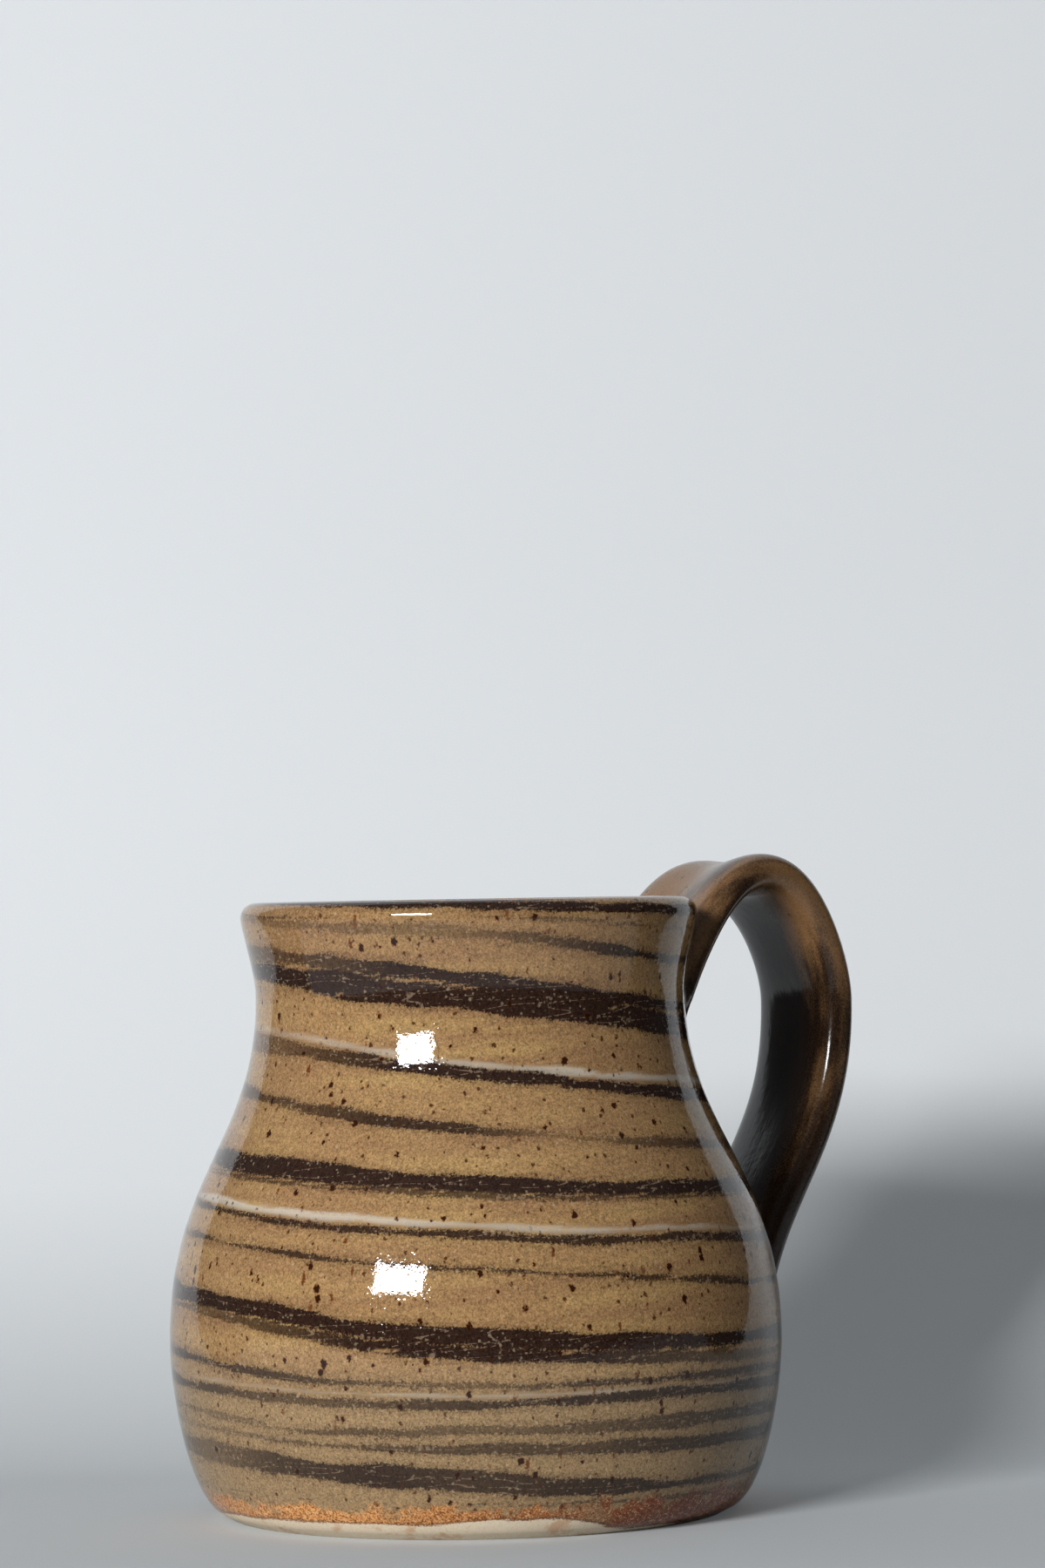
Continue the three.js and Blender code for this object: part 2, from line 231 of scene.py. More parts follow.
RUN_OUT = steady(THINNEST)
GONE = steady(0)
FULL = steady(1)
WINDINGS = [
    [
        ((100.1, 99.8, 99.6, 99.4, 98.8, 98.4, 98), (0.5, 0.6, 0.8, 0.9, 0.9, 0.9, 0.9), FULL),
        ((91.6, 90.6, 89.1, 87.6, 85.8, 84.2, 82.6), (1.15, 1.25, 1.25, 1.3, 1.15, 1, 0.9),
         (0.75, 0.85, 1, 1, 1, 1, 1)),
        ((77.1, 76, 74.2, 72.6, 71.4, 69.8, 68.3), (1.35, 1.25, 1.1, 0.95, 0.95, 1, 1.1),
         (0.6, 0.85, 1, 1, 1, 1, 1)),
        ((58.6, 57.8, 56.7, 55.6, 54.8, 54.2, 53.6), (1.55, 1.55, 1.4, 1.35, 1.3, 1.3, 1.3), FULL),
        ((46.5, 45.2, 43.7, 42.9, 41.5, 40.1, 38.4), (0.4, 0.45, 0.5, 0.45, 0.45, 0.5, 0.6), steady(0.9)),
        ((31.5, 31, 30.5, 30, 29.5, 29, 28), RUN_OUT, GONE),
    ],
    [
        ((88.5, 87.2, 85.6, 84.4, 83, 81.4, 79.6), (1.9, 2.1, 2, 1.9, 2.1, 2.15, 2.1), FULL),
        ((68.9, 67.2, 65.4, 64, 62.8, 61.3, 60.3), (0.75, 0.85, 0.9, 0.9, 0.55, 0.65, 0.7),
         (0.8, 0.85, 0.95, 0.95, 0.4, 0.7, 0.8)),
        ((51.1, 49.8, 48.9, 48, 46.6, 46.5, 45.5), (0.45, 0.55, 0.65, 0.7, 0.8, 0.7, 0.8), steady(0.95)),
        ((37.4, 36.1, 33.6, 32.3, 31, 30.3, 29.9), (1.5, 1.3, 1.5, 1.45, 1.3, 1.3, 1.2), FULL),
        ((23.3, 22.5, 22.1, 21.8, 22.2, 22.5, 22), (0.85, 0.7, 0.65, 0.75, 0.85, 0.9, 0.9),
         (0.85, 0.75, 0.8, 0.9, 0.95, 0.95, 0.95)),
        ((19.3, 17.8, 17.4, 18, 17.8, 17.8, 17.8), (0.45, 0.5, 0.75, 0.8, 1.1, 1.1, 0.9),
         (0.45, 0.6, 0.75, 0.6, 0.7, 0.8, 0.85)),
        ((12.8, 11.8, 10.9, 9.8, 8.1, 7.8, 7.8), (1.7, 1.9, 1.95, 1.8, 1.3, 0.95, 0.6),
         (0.6, 0.9, 0.98, 0.9, 0.95, 0.95, 0.9)),
        ((5.5, 5, 4.5, 4.5, 4.5, 4.5, 4.5), RUN_OUT, GONE),
    ],
    [
        ((27.6, 26.1, 25.2, 24.8, 24.6, 24.5, 24.6), (0.75, 0.65, 0.6, 0.55, 0.6, 0.65, 0.65),
         (0.9, 0.9, 0.75, 0.6, 0.85, 0.9, 0.85)),
        ((16.6, 16, 15.3, 14.8, 14.5, 14.2, 14), (0.35, 0.45, 0.6, 0.85, 1.05, 1.15, 1.1),
         (0.45, 0.6, 0.75, 0.8, 0.8, 0.9, 0.9)),
        ((10.5, 10, 10, 10, 10, 10, 10), RUN_OUT, GONE),
    ],
    [
        ((96.9, 96.3, 95.6, 95, 93.5, 91.6, 90), (0.6, 0.8, 0.95, 0.95, 0.9, 0.9, 0.8),
         (0.45, 0.5, 0.5, 0.5, 0.75, 0.95, 0.95)),
        ((86, 85.5, 85, 84, 83, 82.5, 82), RUN_OUT, GONE),
    ],
    [
        ((97.7, 97.6, 97.6, 97.5, 96.8, 95.8, 95), (0.38, 0.2, THINNEST, 0.05, 0.26, 0.3, 0.3),
         (0.8, 0.6, 0.6, 0.6, 0.6, 0.6, 0.6)),
        ((93, 92.5, 92, 91, 90, 89.5, 89), RUN_OUT, GONE),
    ],
    [
        ((56.5, 55.8, 54.9, 54, 53.2, 52.8, 52.4), (0.4, 0.5, 0.55, 0.5, 0.4, 0.35, 0.3), steady(0.8)),
        ((44, 43.5, 43, 42, 41, 40.5, 40), RUN_OUT, GONE),
    ],
    [
        ((35.4, 33.8, 31.2, 29.8, 28.8, 27.8, 27), (0.8, 1.05, 1.1, 1.2, 1.15, 1, 0.85),
         (0.7, 0.85, 1, 1, 1, 0.85, 0.7)),
        ((22, 21.5, 21, 20, 19, 18.5, 18), RUN_OUT, GONE),
    ],
    [
        ((7, 6.6, 6.3, 6.2, 5.7, 5.5, 5.3), (THINNEST, THINNEST, THINNEST, 0.05, 0.35, 0.45, 0.4),
         steady(0.8)),
        ((3, 3, 3, 3, 3, 3, 3), RUN_OUT, GONE),
    ],
]
PALE_WINDINGS = [
    [
        ((79.2, 78, 75.8, 74, 72.8, 71.5, 70.7), (0.4, 0.55, 0.6, 0.45, 0.5, 0.5, 0.4),
         (0.35, 0.5, 0.7, 0.8, 0.95, 1, 0.9)),
        ((62, 61.5, 61, 60, 59, 58.5, 58), RUN_OUT, GONE),
    ],
    [
        ((52.5, 51.2, 50.4, 49.4, 48.1, 48.2, 47), (0.5, 0.5, 0.42, 0.34, 0.38, 0.38, 0.22),
         (1, 1, 0.95, 0.8, 0.8, 0.9, 0.7)),
        ((40, 39.5, 39, 38, 37, 36.5, 36), RUN_OUT, GONE),
    ],
    [
        ((24.6, 24, 23.6, 23.2, 23.2, 23.2, 23), (THINNEST, THINNEST, 0.05, 0.2, 0.22, 0.2, 0.1),
         steady(0.6)),
        ((18, 18, 18, 18, 18, 18, 18), RUN_OUT, GONE),
    ],
]
FADE_IN_DEG = 70
FADE_IN_RISE = 2
EASES_DEG = (-6, 0, 6)
WAVE_RATES = (3.3, 5.7, 9.1, 15.7)
WOBBLE = 0.16
SWELL = 0.3
NO_STREAK = 1e6
FARTHEST = 1e4


def nearest_streak(windings, angles, heights):
    """For each place on the wall, its nearest streak: ((height - centre) / half thickness) squared, the half
    thickness in mm and the darkness. The square is smooth across the streak's middle, so a coarse mesh
    carries it. Each centre line is read between the passes, eased at them, and wanders by sine waves."""
    nearest = np.full(heights.shape, NO_STREAK)
    halves = np.full(heights.shape, THINNEST)
    darks = np.zeros(heights.shape)
    for passes in windings:
        knots = np.concatenate([PASS_ANGLES + 360 * n for n in range(len(passes))])
        centre, half, dark = (np.concatenate([p[k] for p in passes]) for k in range(3))
        knots = np.concatenate([[knots[0] - FADE_IN_DEG], knots])
        centre = np.concatenate([[centre[0] + FADE_IN_RISE], centre])
        half = np.concatenate([[THINNEST], half])
        dark = np.concatenate([dark[:1], dark])
        phases = rng.uniform(0, 2 * np.pi, len(WAVE_RATES))
        for n in range(-1, len(passes)):
            unwrapped = angles + 360 * n
            line = sum(np.interp(unwrapped + ease, knots, centre) for ease in EASES_DEG) / len(EASES_DEG)
            waves = sum(np.sin(np.radians(unwrapped) * rate + phase) / len(WAVE_RATES)
                        for rate, phase in zip(WAVE_RATES, phases))
            within = np.interp(unwrapped, knots, half) * (1 + SWELL * waves)
            beyond = (unwrapped < knots[0]) | (unwrapped > knots[-1])
            square = ((heights - line - WOBBLE * waves) / within) ** 2
            closer = (square < nearest) & ~beyond
            nearest = np.where(closer, square, nearest)
            halves = np.where(closer, within, halves)
            darks = np.where(closer, np.interp(unwrapped, knots, dark), darks)
    return np.stack([np.minimum(nearest, FARTHEST), halves, darks], axis=-1)


# The inside shows the same windings where they come through the wall, a little lower and further round.
THROUGH_WALL_DROP = 6.5
THROUGH_WALL_TURN = 140
FIRST_ANGLE = -75


def from_first_angle(angles):
    """Angles round the pot in degrees, as numbers from FIRST_ANGLE to a whole turn past it."""
    return (angles - FIRST_ANGLE) % 360 + FIRST_ANGLE


angle = np.degrees(azimuth) + HANDLE_ANGLE + np.zeros_like(height)
read_height = height + np.where(is_inside, THROUGH_WALL_DROP, 0)[:, None]
read_angle = from_first_angle(angle + np.where(is_inside, THROUGH_WALL_TURN, 0)[:, None])
dark_streaks = nearest_streak(WINDINGS, read_angle, read_height)
pale_streaks = nearest_streak(PALE_WINDINGS, read_angle, read_height)

# The foot: the height of the glaze's wiped edge at angles round the pot, and the top of the kiln's blush.
# The blush turns from orange to rust and back twice on its way round.
WIPED_ANGLES = (-75, -40, -10, 5, 20, 30, 50, 100, 150, 190, 240, 285)
WIPED_HEIGHTS = (2, 2.6, 2.8, 3.6, 3, 1, 0.4, 0.6, 2.2, 2.6, 1.2, 2)
BLUSH_TOP = 5.7
RUSTY_PLACES = 2
RUST_SHIFT = 0.2
WELL_CLEAR = 10
BASE_UNDER_WIPE = 3
front_angle = from_first_angle(angle)
above_wipe = height - np.interp(front_angle, WIPED_ANGLES, WIPED_HEIGHTS)
above_wipe = np.where(is_inside[:, None], WELL_CLEAR, above_wipe)
below_blush = np.where(is_inside[:, None], -WELL_CLEAR, BLUSH_TOP - height)
redness = 0.5 + 0.5 * np.sin(np.radians(front_angle) * RUSTY_PLACES - RUST_SHIFT)
foot_marks = np.stack([above_wipe, below_blush, redness], axis=-1)


def carry(mesh, name, values, poles):
    """Keeps three numbers with each vertex, for a material to read. Any poles come last."""
    attribute = mesh.attributes.new(name, "FLOAT_VECTOR", "POINT")
    flat = np.concatenate([values.reshape(-1, 3), np.array(poles, float)])
    attribute.data.foreach_set("vector", flat.astype(np.float32).ravel())


streakless = (FARTHEST, THINNEST, 0)
carry(body_mesh, "dark_streaks", dark_streaks, [streakless, streakless])
carry(body_mesh, "pale_streaks", pale_streaks, [streakless, streakless])
carry(body_mesh, "foot_marks", foot_marks,
      [(-BASE_UNDER_WIPE, BLUSH_TOP, 0.5), (WELL_CLEAR, -WELL_CLEAR, 0.5)])


def linear(code):
    """An sRGB hex colour as the linear colour that a shader takes: below 0.04045 a straight line, above it a
    power of 2.4."""
    parts = [int(code[k:k + 2], 16) / 255 for k in (1, 3, 5)]
    return [c / 12.92 if c <= 0.04045 else ((c + 0.055) / 1.055) ** 2.4 for c in parts] + [1]


def add(material, kind, inputs, output=0, **settings):
    """Adds a node with its settings, fills its sockets with values, hex colours or other nodes' outputs, and
    returns one of its outputs, or the node itself where it has none. Sockets go by name or by number: in a
    colour mix 0 is the share and 6 and 7 are the two colours, and in a map range 0 is the value, which runs
    from 1 to 2, and the result runs from 3 to 4, or from 0 to 1."""
    tree = material.node_tree
    node = tree.nodes.new(kind)
    for name, value in settings.items():
        setattr(node, name, value)
    for socket, value in inputs.items():
        if isinstance(value, bpy.types.NodeSocket):
            tree.links.new(value, node.inputs[socket])
        elif isinstance(value, str):
            node.inputs[socket].default_value = linear(value)
        else:
            node.inputs[socket].default_value = value
    return node if output is None else node.outputs[output]


def new_material(name):
    """An empty material with nodes."""
    material = bpy.data.materials.new(name)
    material.use_nodes = True
    material.node_tree.nodes.clear()
    return material


# Agateware stoneware under a clear gloss glaze: sandy tan clay with dark iron-bearing clay drawn through it.
# Both are grainy, so a streak's edge is a soft band of mixed grains. Iron grains melted into brown specks
# and ran a little. The glaze lies thin over the grit, so a highlight has a slightly broken edge.
# Sizes and heights are in mm, and a size written as 1 / n puts n cells of its pattern in a mm. An edge is
# soft from OUT outside its outline to IN inside it. The sand is drawn a little coarser than it is, to show.
SAND_GRAIN = 0.3
COARSE_GRAIN = 0.7
GRAIN_LOW = 0.36
GRAIN_HIGH = 0.64
SAND_DARKEST = 0.62
SAND_LIGHTEST = 1.35
CLOUD_SIZE = 20
LAYER_LENGTH = 1 / 0.03
LAYER_SPACING = 1 / 0.35
STREAK_TILT_DEG = 2.6
SMEAR_LENGTH = 11
SMEAR_WIDTH = 1.1
EDGE_WANDER = 0.4
EDGE_GRAIN = 0.3
PALE_EDGE_OUT = 0.42
PALE_EDGE_IN = 0.3
PALE_SHARE = 0.85
DARK_EDGE_OUT = 0.33
DARK_EDGE_IN = 0.31
HALO_WIDTH = 1.35
HALO_SHARE = 0.27
LOWER_CLAY_FROM = 31
LOWER_CLAY_TO = 22
THREAD_LENGTH = 13
THREAD_SPACING = 1.3
THREAD_FINENESS = 0.018
THREAD_SHARE = 0.5
SPECK_EDGE_OUT = 0.14
SPECK_EDGE_IN = 0.06
BIG_SPECK_SHARE = 0.75
RUN_OF_IRON_SHARE = 0.9
TINY_SPECK_SHARE = 0.92
HEART_EDGE_IN = 0.12
HEART_SHARE = 0.95
SHOWS_ON_DARK = 0.25
QUARTZ_SHARE = 0.3
MELT_SIZE = 1 / 2.2
MELT_WANDER = 0.2
LICK_SIZE = 1 / 0.24
LICK_RISE = 2
BLUSH_EDGE_OUT = 0.2
BLUSH_EDGE_IN = 1.1
PATCH_SIZE = 1 / 0.11
WIPE_RAGGED = 0.9
WIPE_EDGE = 0.15
ROLLED_FROM = 0.6
ROLLED_TO = 0.2
ROLLED_SHARE = 0.7
PEEL_SIZE = 1 / 0.75
PEEL_HEIGHT = 0.016
RIPPLE_SIZE = 1 / 2.4
RIPPLE_HEIGHT = 0.006
GRIT_SPACING = 1
GRIT_RADIUS = 0.3
GRIT_ON_TAN = 0.01
GRIT_ON_DARK = 0.02
BARE_SAND_HEIGHT = 0.05
GLAZE_IOR = 1.5
GLAZE_ROUGHNESS = 0.04
BARE_ROUGHNESS = 0.75
WARM_TAN = "#ad885c"
PALE_TAN = "#b59260"
LAYER_TAN = "#a17c56"
LOWER_TAN = "#a58862"
WHITISH_LINE = "#d6cab8"
DARK_CLAY = "#281812"
LOWER_DARK_CLAY = "#2a1f19"
DARK_SAND = "#3e2c23"
THREAD = "#a58c74"
QUARTZ = "#dcc7a4"
BIG_SPECK = "#743d18"
RUN_OF_IRON = "#66300f"
TINY_SPECK = "#4a260e"
HEART_OF_SPECK = "#2b1206"
BLUSH_ORANGE = "#f2a962"
BLUSH_RUST = "#8c3f1a"
BLUSH_BURNT = "#5c2a10"
BLUSH_WASHED = "#f2d2a6"
GLAZE_EDGE = "#5b3018"
BARE_CREAM = "#f0dabc"
BARE_PALE = "#fbedd4"
BARE_SCORCHED = "#d19a66"


def in_millimetres(m):
    """The place on the piece in mm: its own coordinates divided by the length of a millimetre."""
    place_m = add(m, "ShaderNodeTexCoord", {}, "Object")
    return add(m, "ShaderNodeVectorMath", {0: place_m, "Scale": 1 / MM}, operation="SCALE")


def streak_edge(m, attribute, ragged):
    """How far a place lies outside its nearest streak, in mm, and how dark the streak is: the square root of
    the carried square, less one, times the half thickness, plus a ragged edge."""
    carried = add(m, "ShaderNodeAttribute", {}, "Vector", attribute_name=attribute)
    square, half, dark = (add(m, "ShaderNodeSeparateXYZ", {0: carried}, k) for k in range(3))
    halves_out = add(m, "ShaderNodeMath", {0: square, 1: 0.5}, operation="POWER")
    beyond = add(m, "ShaderNodeMath", {0: halves_out, 1: 1}, operation="SUBTRACT")
    outside_mm = add(m, "ShaderNodeMath", {0: beyond, 1: half, 2: ragged}, operation="MULTIPLY_ADD")
    return outside_mm, dark


def melted_edge(m, mm):
    """How far the edge of a melted grain wanders in and out, in mm."""
    blots = add(m, "ShaderNodeTexNoise", {"Vector": mm, "Scale": 1 / MELT_SIZE, "Detail": 1})
    return add(m, "ShaderNodeMapRange", {0: blots, 1: 0.25, 2: 0.75, 3: -MELT_WANDER, 4: MELT_WANDER})


def specks(m, mm, ragged, spacing, run, radius):
    """How far a place lies outside the nearest speck, in mm. Each cell of a Voronoi pattern holds one speck,
    drawn out downwards by run, with its own share of the largest radius; some shares are none."""
    squeezed = add(m, "ShaderNodeVectorMath", {0: mm, 1: (1, 1, 1 / run)}, operation="MULTIPLY")
    cells = add(m, "ShaderNodeTexVoronoi", {"Vector": squeezed, "Scale": 1 / spacing}, "Distance")
    lot = add(m, "ShaderNodeSeparateXYZ", {0: cells.node.outputs["Color"]}, 0)
    own_radius = add(m, "ShaderNodeMapRange", {0: lot, 3: -0.4 * radius, 4: radius}, clamp=False)
    outside_mm = add(m, "ShaderNodeMath", {0: cells, 1: spacing, 2: ragged}, operation="MULTIPLY_ADD")
    return add(m, "ShaderNodeMath", {0: outside_mm, 1: own_radius}, operation="SUBTRACT")


def agateware():
    """The body's material. Every pattern is in millimetres of the pot's own coordinates. A noise lies mostly
    between 0.3 and 0.7, so a map range picks the part of it that makes a change, and a colour is mixed in by
    that share."""
    m = new_material("clear_glazed_agateware")
    mm = in_millimetres(m)
    drawn = add(m, "ShaderNodeMapping",
                {"Vector": mm, "Rotation": (0, math.radians(STREAK_TILT_DEG), -turn)})
    up_mm = add(m, "ShaderNodeSeparateXYZ", {0: mm}, 2)
    lower = add(m, "ShaderNodeMapRange", {0: up_mm, 1: LOWER_CLAY_FROM, 2: LOWER_CLAY_TO})

    # Sand in both clays, fine and coarse
    grain = add(m, "ShaderNodeTexNoise",
                {"Vector": mm, "Scale": 1 / SAND_GRAIN, "Detail": 1, "Roughness": 0.6})
    coarse = add(m, "ShaderNodeTexNoise",
                 {"Vector": mm, "Scale": 1 / COARSE_GRAIN, "Detail": 2, "Roughness": 0.6})
    grains = add(m, "ShaderNodeMath", {0: grain, 1: 0.6}, operation="MULTIPLY")
    grains = add(m, "ShaderNodeMath", {0: coarse, 1: 0.4, 2: grains}, operation="MULTIPLY_ADD")
    grain_share = add(m, "ShaderNodeMapRange", {0: grains, 1: GRAIN_LOW, 2: GRAIN_HIGH})

    # A streak's edge wanders where the clays were smeared together, and is soft by a few grains
    smear_cells = (1 / SMEAR_LENGTH, 1 / SMEAR_LENGTH, 1 / SMEAR_WIDTH)
    smeared = add(m, "ShaderNodeVectorMath", {0: drawn, 1: smear_cells}, operation="MULTIPLY")
    smears = add(m, "ShaderNodeTexNoise", {"Vector": smeared, "Scale": 1, "Detail": 4, "Roughness": 0.62})
    wander = add(m, "ShaderNodeMapRange", {0: smears, 1: 0.25, 2: 0.75, 3: -EDGE_WANDER, 4: EDGE_WANDER})
    loose = add(m, "ShaderNodeMapRange", {0: grains, 1: 0.3, 2: 0.7, 3: -EDGE_GRAIN, 4: EDGE_GRAIN})
    ragged = add(m, "ShaderNodeMath", {0: wander, 1: loose}, operation="ADD")

    # The sandy tan clay: slow clouds of warmer and paler clay, layers laid by the wheel, and sand
    clouds = add(m, "ShaderNodeTexNoise",
                 {"Vector": drawn, "Scale": 1 / CLOUD_SIZE, "Detail": 3, "Roughness": 0.5})
    layer_cells = (1 / LAYER_LENGTH, 1 / LAYER_LENGTH, 1 / LAYER_SPACING)
    layered = add(m, "ShaderNodeVectorMath", {0: drawn, 1: layer_cells}, operation="MULTIPLY")
    layers = add(m, "ShaderNodeTexNoise", {"Vector": layered, "Scale": 1, "Detail": 4, "Roughness": 0.55})
    cloud_share = add(m, "ShaderNodeMapRange", {0: clouds, 1: 0.35, 2: 0.65})
    layer_share = add(m, "ShaderNodeMapRange", {0: layers, 1: 0.35, 2: 0.62})
    tan = add(m, "ShaderNodeMix", {0: cloud_share, 6: WARM_TAN, 7: PALE_TAN}, 2, data_type="RGBA")
    tan = add(m, "ShaderNodeMix", {0: layer_share, 6: LAYER_TAN, 7: tan}, 2, data_type="RGBA")
    tan = add(m, "ShaderNodeMix", {0: lower, 6: tan, 7: LOWER_TAN}, 2, data_type="RGBA")
    sandy_level = add(m, "ShaderNodeMapRange",
                      {0: grains, 1: GRAIN_LOW, 2: GRAIN_HIGH, 3: SAND_DARKEST, 4: SAND_LIGHTEST})
    clay = add(m, "ShaderNodeVectorMath", {0: tan, "Scale": sandy_level}, operation="SCALE")

    # Pale lines: soft-edged and whitish
    pale_out, paleness = streak_edge(m, "pale_streaks", ragged)
    pale_share = add(m, "ShaderNodeMapRange",
                     {0: pale_out, 1: PALE_EDGE_OUT, 2: -PALE_EDGE_IN, 3: 0, 4: PALE_SHARE},
                     interpolation_type="SMOOTHSTEP")
    pale_share = add(m, "ShaderNodeMath", {0: pale_share, 1: paleness}, operation="MULTIPLY")
    clay = add(m, "ShaderNodeMix", {0: pale_share, 6: clay, 7: WHITISH_LINE}, 2, data_type="RGBA")

    # Dark streaks: a solid middle, an edge of mixed grains, and a faint smear past it
    dark_out, darkness = streak_edge(m, "dark_streaks", ragged)
    core = add(m, "ShaderNodeMapRange", {0: dark_out, 1: DARK_EDGE_OUT, 2: -DARK_EDGE_IN},
               interpolation_type="SMOOTHSTEP")
    halo = add(m, "ShaderNodeMapRange", {0: dark_out, 1: HALO_WIDTH, 2: 0, 3: 0, 4: HALO_SHARE},
               interpolation_type="SMOOTHSTEP")
    dark_share = add(m, "ShaderNodeMath", {0: core, 1: halo}, operation="MAXIMUM")
    dark_share = add(m, "ShaderNodeMath", {0: dark_share, 1: darkness}, operation="MULTIPLY")
    darkest = add(m, "ShaderNodeMix", {0: lower, 6: DARK_CLAY, 7: LOWER_DARK_CLAY}, 2, data_type="RGBA")
    dark_clay = add(m, "ShaderNodeMix", {0: grain_share, 6: darkest, 7: DARK_SAND}, 2, data_type="RGBA")
    clay = add(m, "ShaderNodeMix", {0: dark_share, 6: clay, 7: dark_clay}, 2, data_type="RGBA")

    # Threads of pale clay run lengthwise in the dark streaks, where a slow noise passes its middle value
    thread_cells = (1 / THREAD_LENGTH, 1 / THREAD_LENGTH, 1 / THREAD_SPACING)
    threaded = add(m, "ShaderNodeVectorMath", {0: drawn, 1: thread_cells}, operation="MULTIPLY")
    threads = add(m, "ShaderNodeTexNoise", {"Vector": threaded, "Scale": 1, "Detail": 0})
    on_thread = add(m, "ShaderNodeMath", {0: threads, 1: 0.5, 2: THREAD_FINENESS}, operation="COMPARE")
    thread_share = add(m, "ShaderNodeMath", {0: on_thread, 1: core}, operation="MULTIPLY")
    broken = add(m, "ShaderNodeMapRange", {0: coarse, 1: 0.46, 2: 0.58, 3: 0, 4: THREAD_SHARE})
    thread_share = add(m, "ShaderNodeMath", {0: thread_share, 1: broken}, operation="MULTIPLY")
    clay = add(m, "ShaderNodeMix", {0: thread_share, 6: clay, 7: THREAD}, 2, data_type="RGBA")

    # Pale quartz grains, which show on the dark clay, and iron specks, which show on the tan: big ones with
    # a dark heart and a rusty rim, thin runs, and tiny ones
    melted = melted_edge(m, mm)
    big = specks(m, mm, melted, spacing=2.5, run=1.35, radius=0.58)
    tiny = specks(m, mm, melted, spacing=1.5, run=1.2, radius=0.29)
    run_down = specks(m, mm, melted, spacing=2.4, run=3.4, radius=0.32)
    quartz = specks(m, mm, melted, spacing=0.9, run=1, radius=0.16)
    quartz_share = add(m, "ShaderNodeMapRange",
                       {0: quartz, 1: SPECK_EDGE_OUT, 2: -SPECK_EDGE_IN, 3: 0, 4: QUARTZ_SHARE})
    clay = add(m, "ShaderNodeMix", {0: quartz_share, 6: clay, 7: QUARTZ}, 2, data_type="RGBA")
    on_tan = add(m, "ShaderNodeMapRange", {0: dark_share, 3: 1, 4: SHOWS_ON_DARK})
    for kind, colour, share in (
        (big, BIG_SPECK, BIG_SPECK_SHARE),
        (run_down, RUN_OF_IRON, RUN_OF_IRON_SHARE),
        (tiny, TINY_SPECK, TINY_SPECK_SHARE),
    ):
        inside_share = add(m, "ShaderNodeMapRange",
                           {0: kind, 1: SPECK_EDGE_OUT, 2: -SPECK_EDGE_IN, 3: 0, 4: share})
        inside_share = add(m, "ShaderNodeMath", {0: inside_share, 1: on_tan}, operation="MULTIPLY")
        clay = add(m, "ShaderNodeMix", {0: inside_share, 6: clay, 7: colour}, 2, data_type="RGBA")
    heart = add(m, "ShaderNodeMapRange", {0: big, 1: 0, 2: -HEART_EDGE_IN, 3: 0, 4: HEART_SHARE})
    clay = add(m, "ShaderNodeMix", {0: heart, 6: clay, 7: HEART_OF_SPECK}, 2, data_type="RGBA")

    # The foot: a kiln blush licks up through the glaze's lower edge in patches, burnt at some grains and
    # washed out at others. Below it the glaze ends in a dark rolled edge, and the bare clay is cream with
    # scorch marks.
    foot = add(m, "ShaderNodeAttribute", {}, "Vector", attribute_name="foot_marks")
    over_wipe, below_top, red = (add(m, "ShaderNodeSeparateXYZ", {0: foot}, k) for k in range(3))
    licks = add(m, "ShaderNodeTexNoise",
                {"Vector": drawn, "Scale": 1 / LICK_SIZE, "Detail": 5, "Roughness": 0.65})
    lick_mm = add(m, "ShaderNodeMapRange", {0: licks, 1: 0.3, 2: 0.7, 3: -LICK_RISE, 4: LICK_RISE})
    under_lick = add(m, "ShaderNodeMath", {0: below_top, 1: lick_mm}, operation="ADD")
    blush_share = add(m, "ShaderNodeMapRange", {0: under_lick, 1: -BLUSH_EDGE_OUT, 2: BLUSH_EDGE_IN})
    patches = add(m, "ShaderNodeTexNoise",
                  {"Vector": drawn, "Scale": 1 / PATCH_SIZE, "Detail": 4, "Roughness": 0.7})
    patch_share = add(m, "ShaderNodeMapRange", {0: patches, 1: 0.36, 2: 0.48, 3: 0.45, 4: 1})
    blush_share = add(m, "ShaderNodeMath", {0: blush_share, 1: patch_share}, operation="MULTIPLY")
    blush = add(m, "ShaderNodeMix", {0: red, 6: BLUSH_ORANGE, 7: BLUSH_RUST}, 2, data_type="RGBA")
    burnt = add(m, "ShaderNodeMapRange", {0: grains, 1: 0.53, 2: 0.38, 3: 0, 4: 0.85})
    blush = add(m, "ShaderNodeMix", {0: burnt, 6: blush, 7: BLUSH_BURNT}, 2, data_type="RGBA")
    washed = add(m, "ShaderNodeMapRange", {0: grains, 1: 0.54, 2: 0.66, 3: 0, 4: 0.7})
    blush = add(m, "ShaderNodeMix", {0: washed, 6: blush, 7: BLUSH_WASHED}, 2, data_type="RGBA")
    clay = add(m, "ShaderNodeMix", {0: blush_share, 6: clay, 7: blush}, 2, data_type="RGBA")
    wiped_edge = add(m, "ShaderNodeMath", {0: ragged, 1: WIPE_RAGGED, 2: over_wipe},
                     operation="MULTIPLY_ADD")
    rolled = add(m, "ShaderNodeMapRange",
                 {0: wiped_edge, 1: ROLLED_FROM, 2: ROLLED_TO, 3: 0, 4: ROLLED_SHARE})
    clay = add(m, "ShaderNodeMix", {0: rolled, 6: clay, 7: GLAZE_EDGE}, 2, data_type="RGBA")
    bare = add(m, "ShaderNodeMapRange", {0: wiped_edge, 1: WIPE_EDGE, 2: -WIPE_EDGE})
    bare_clay = add(m, "ShaderNodeMix", {0: grain_share, 6: BARE_CREAM, 7: BARE_PALE}, 2, data_type="RGBA")
    scorch = add(m, "ShaderNodeMapRange", {0: licks, 1: 0.56, 2: 0.66, 3: 0, 4: 0.6})
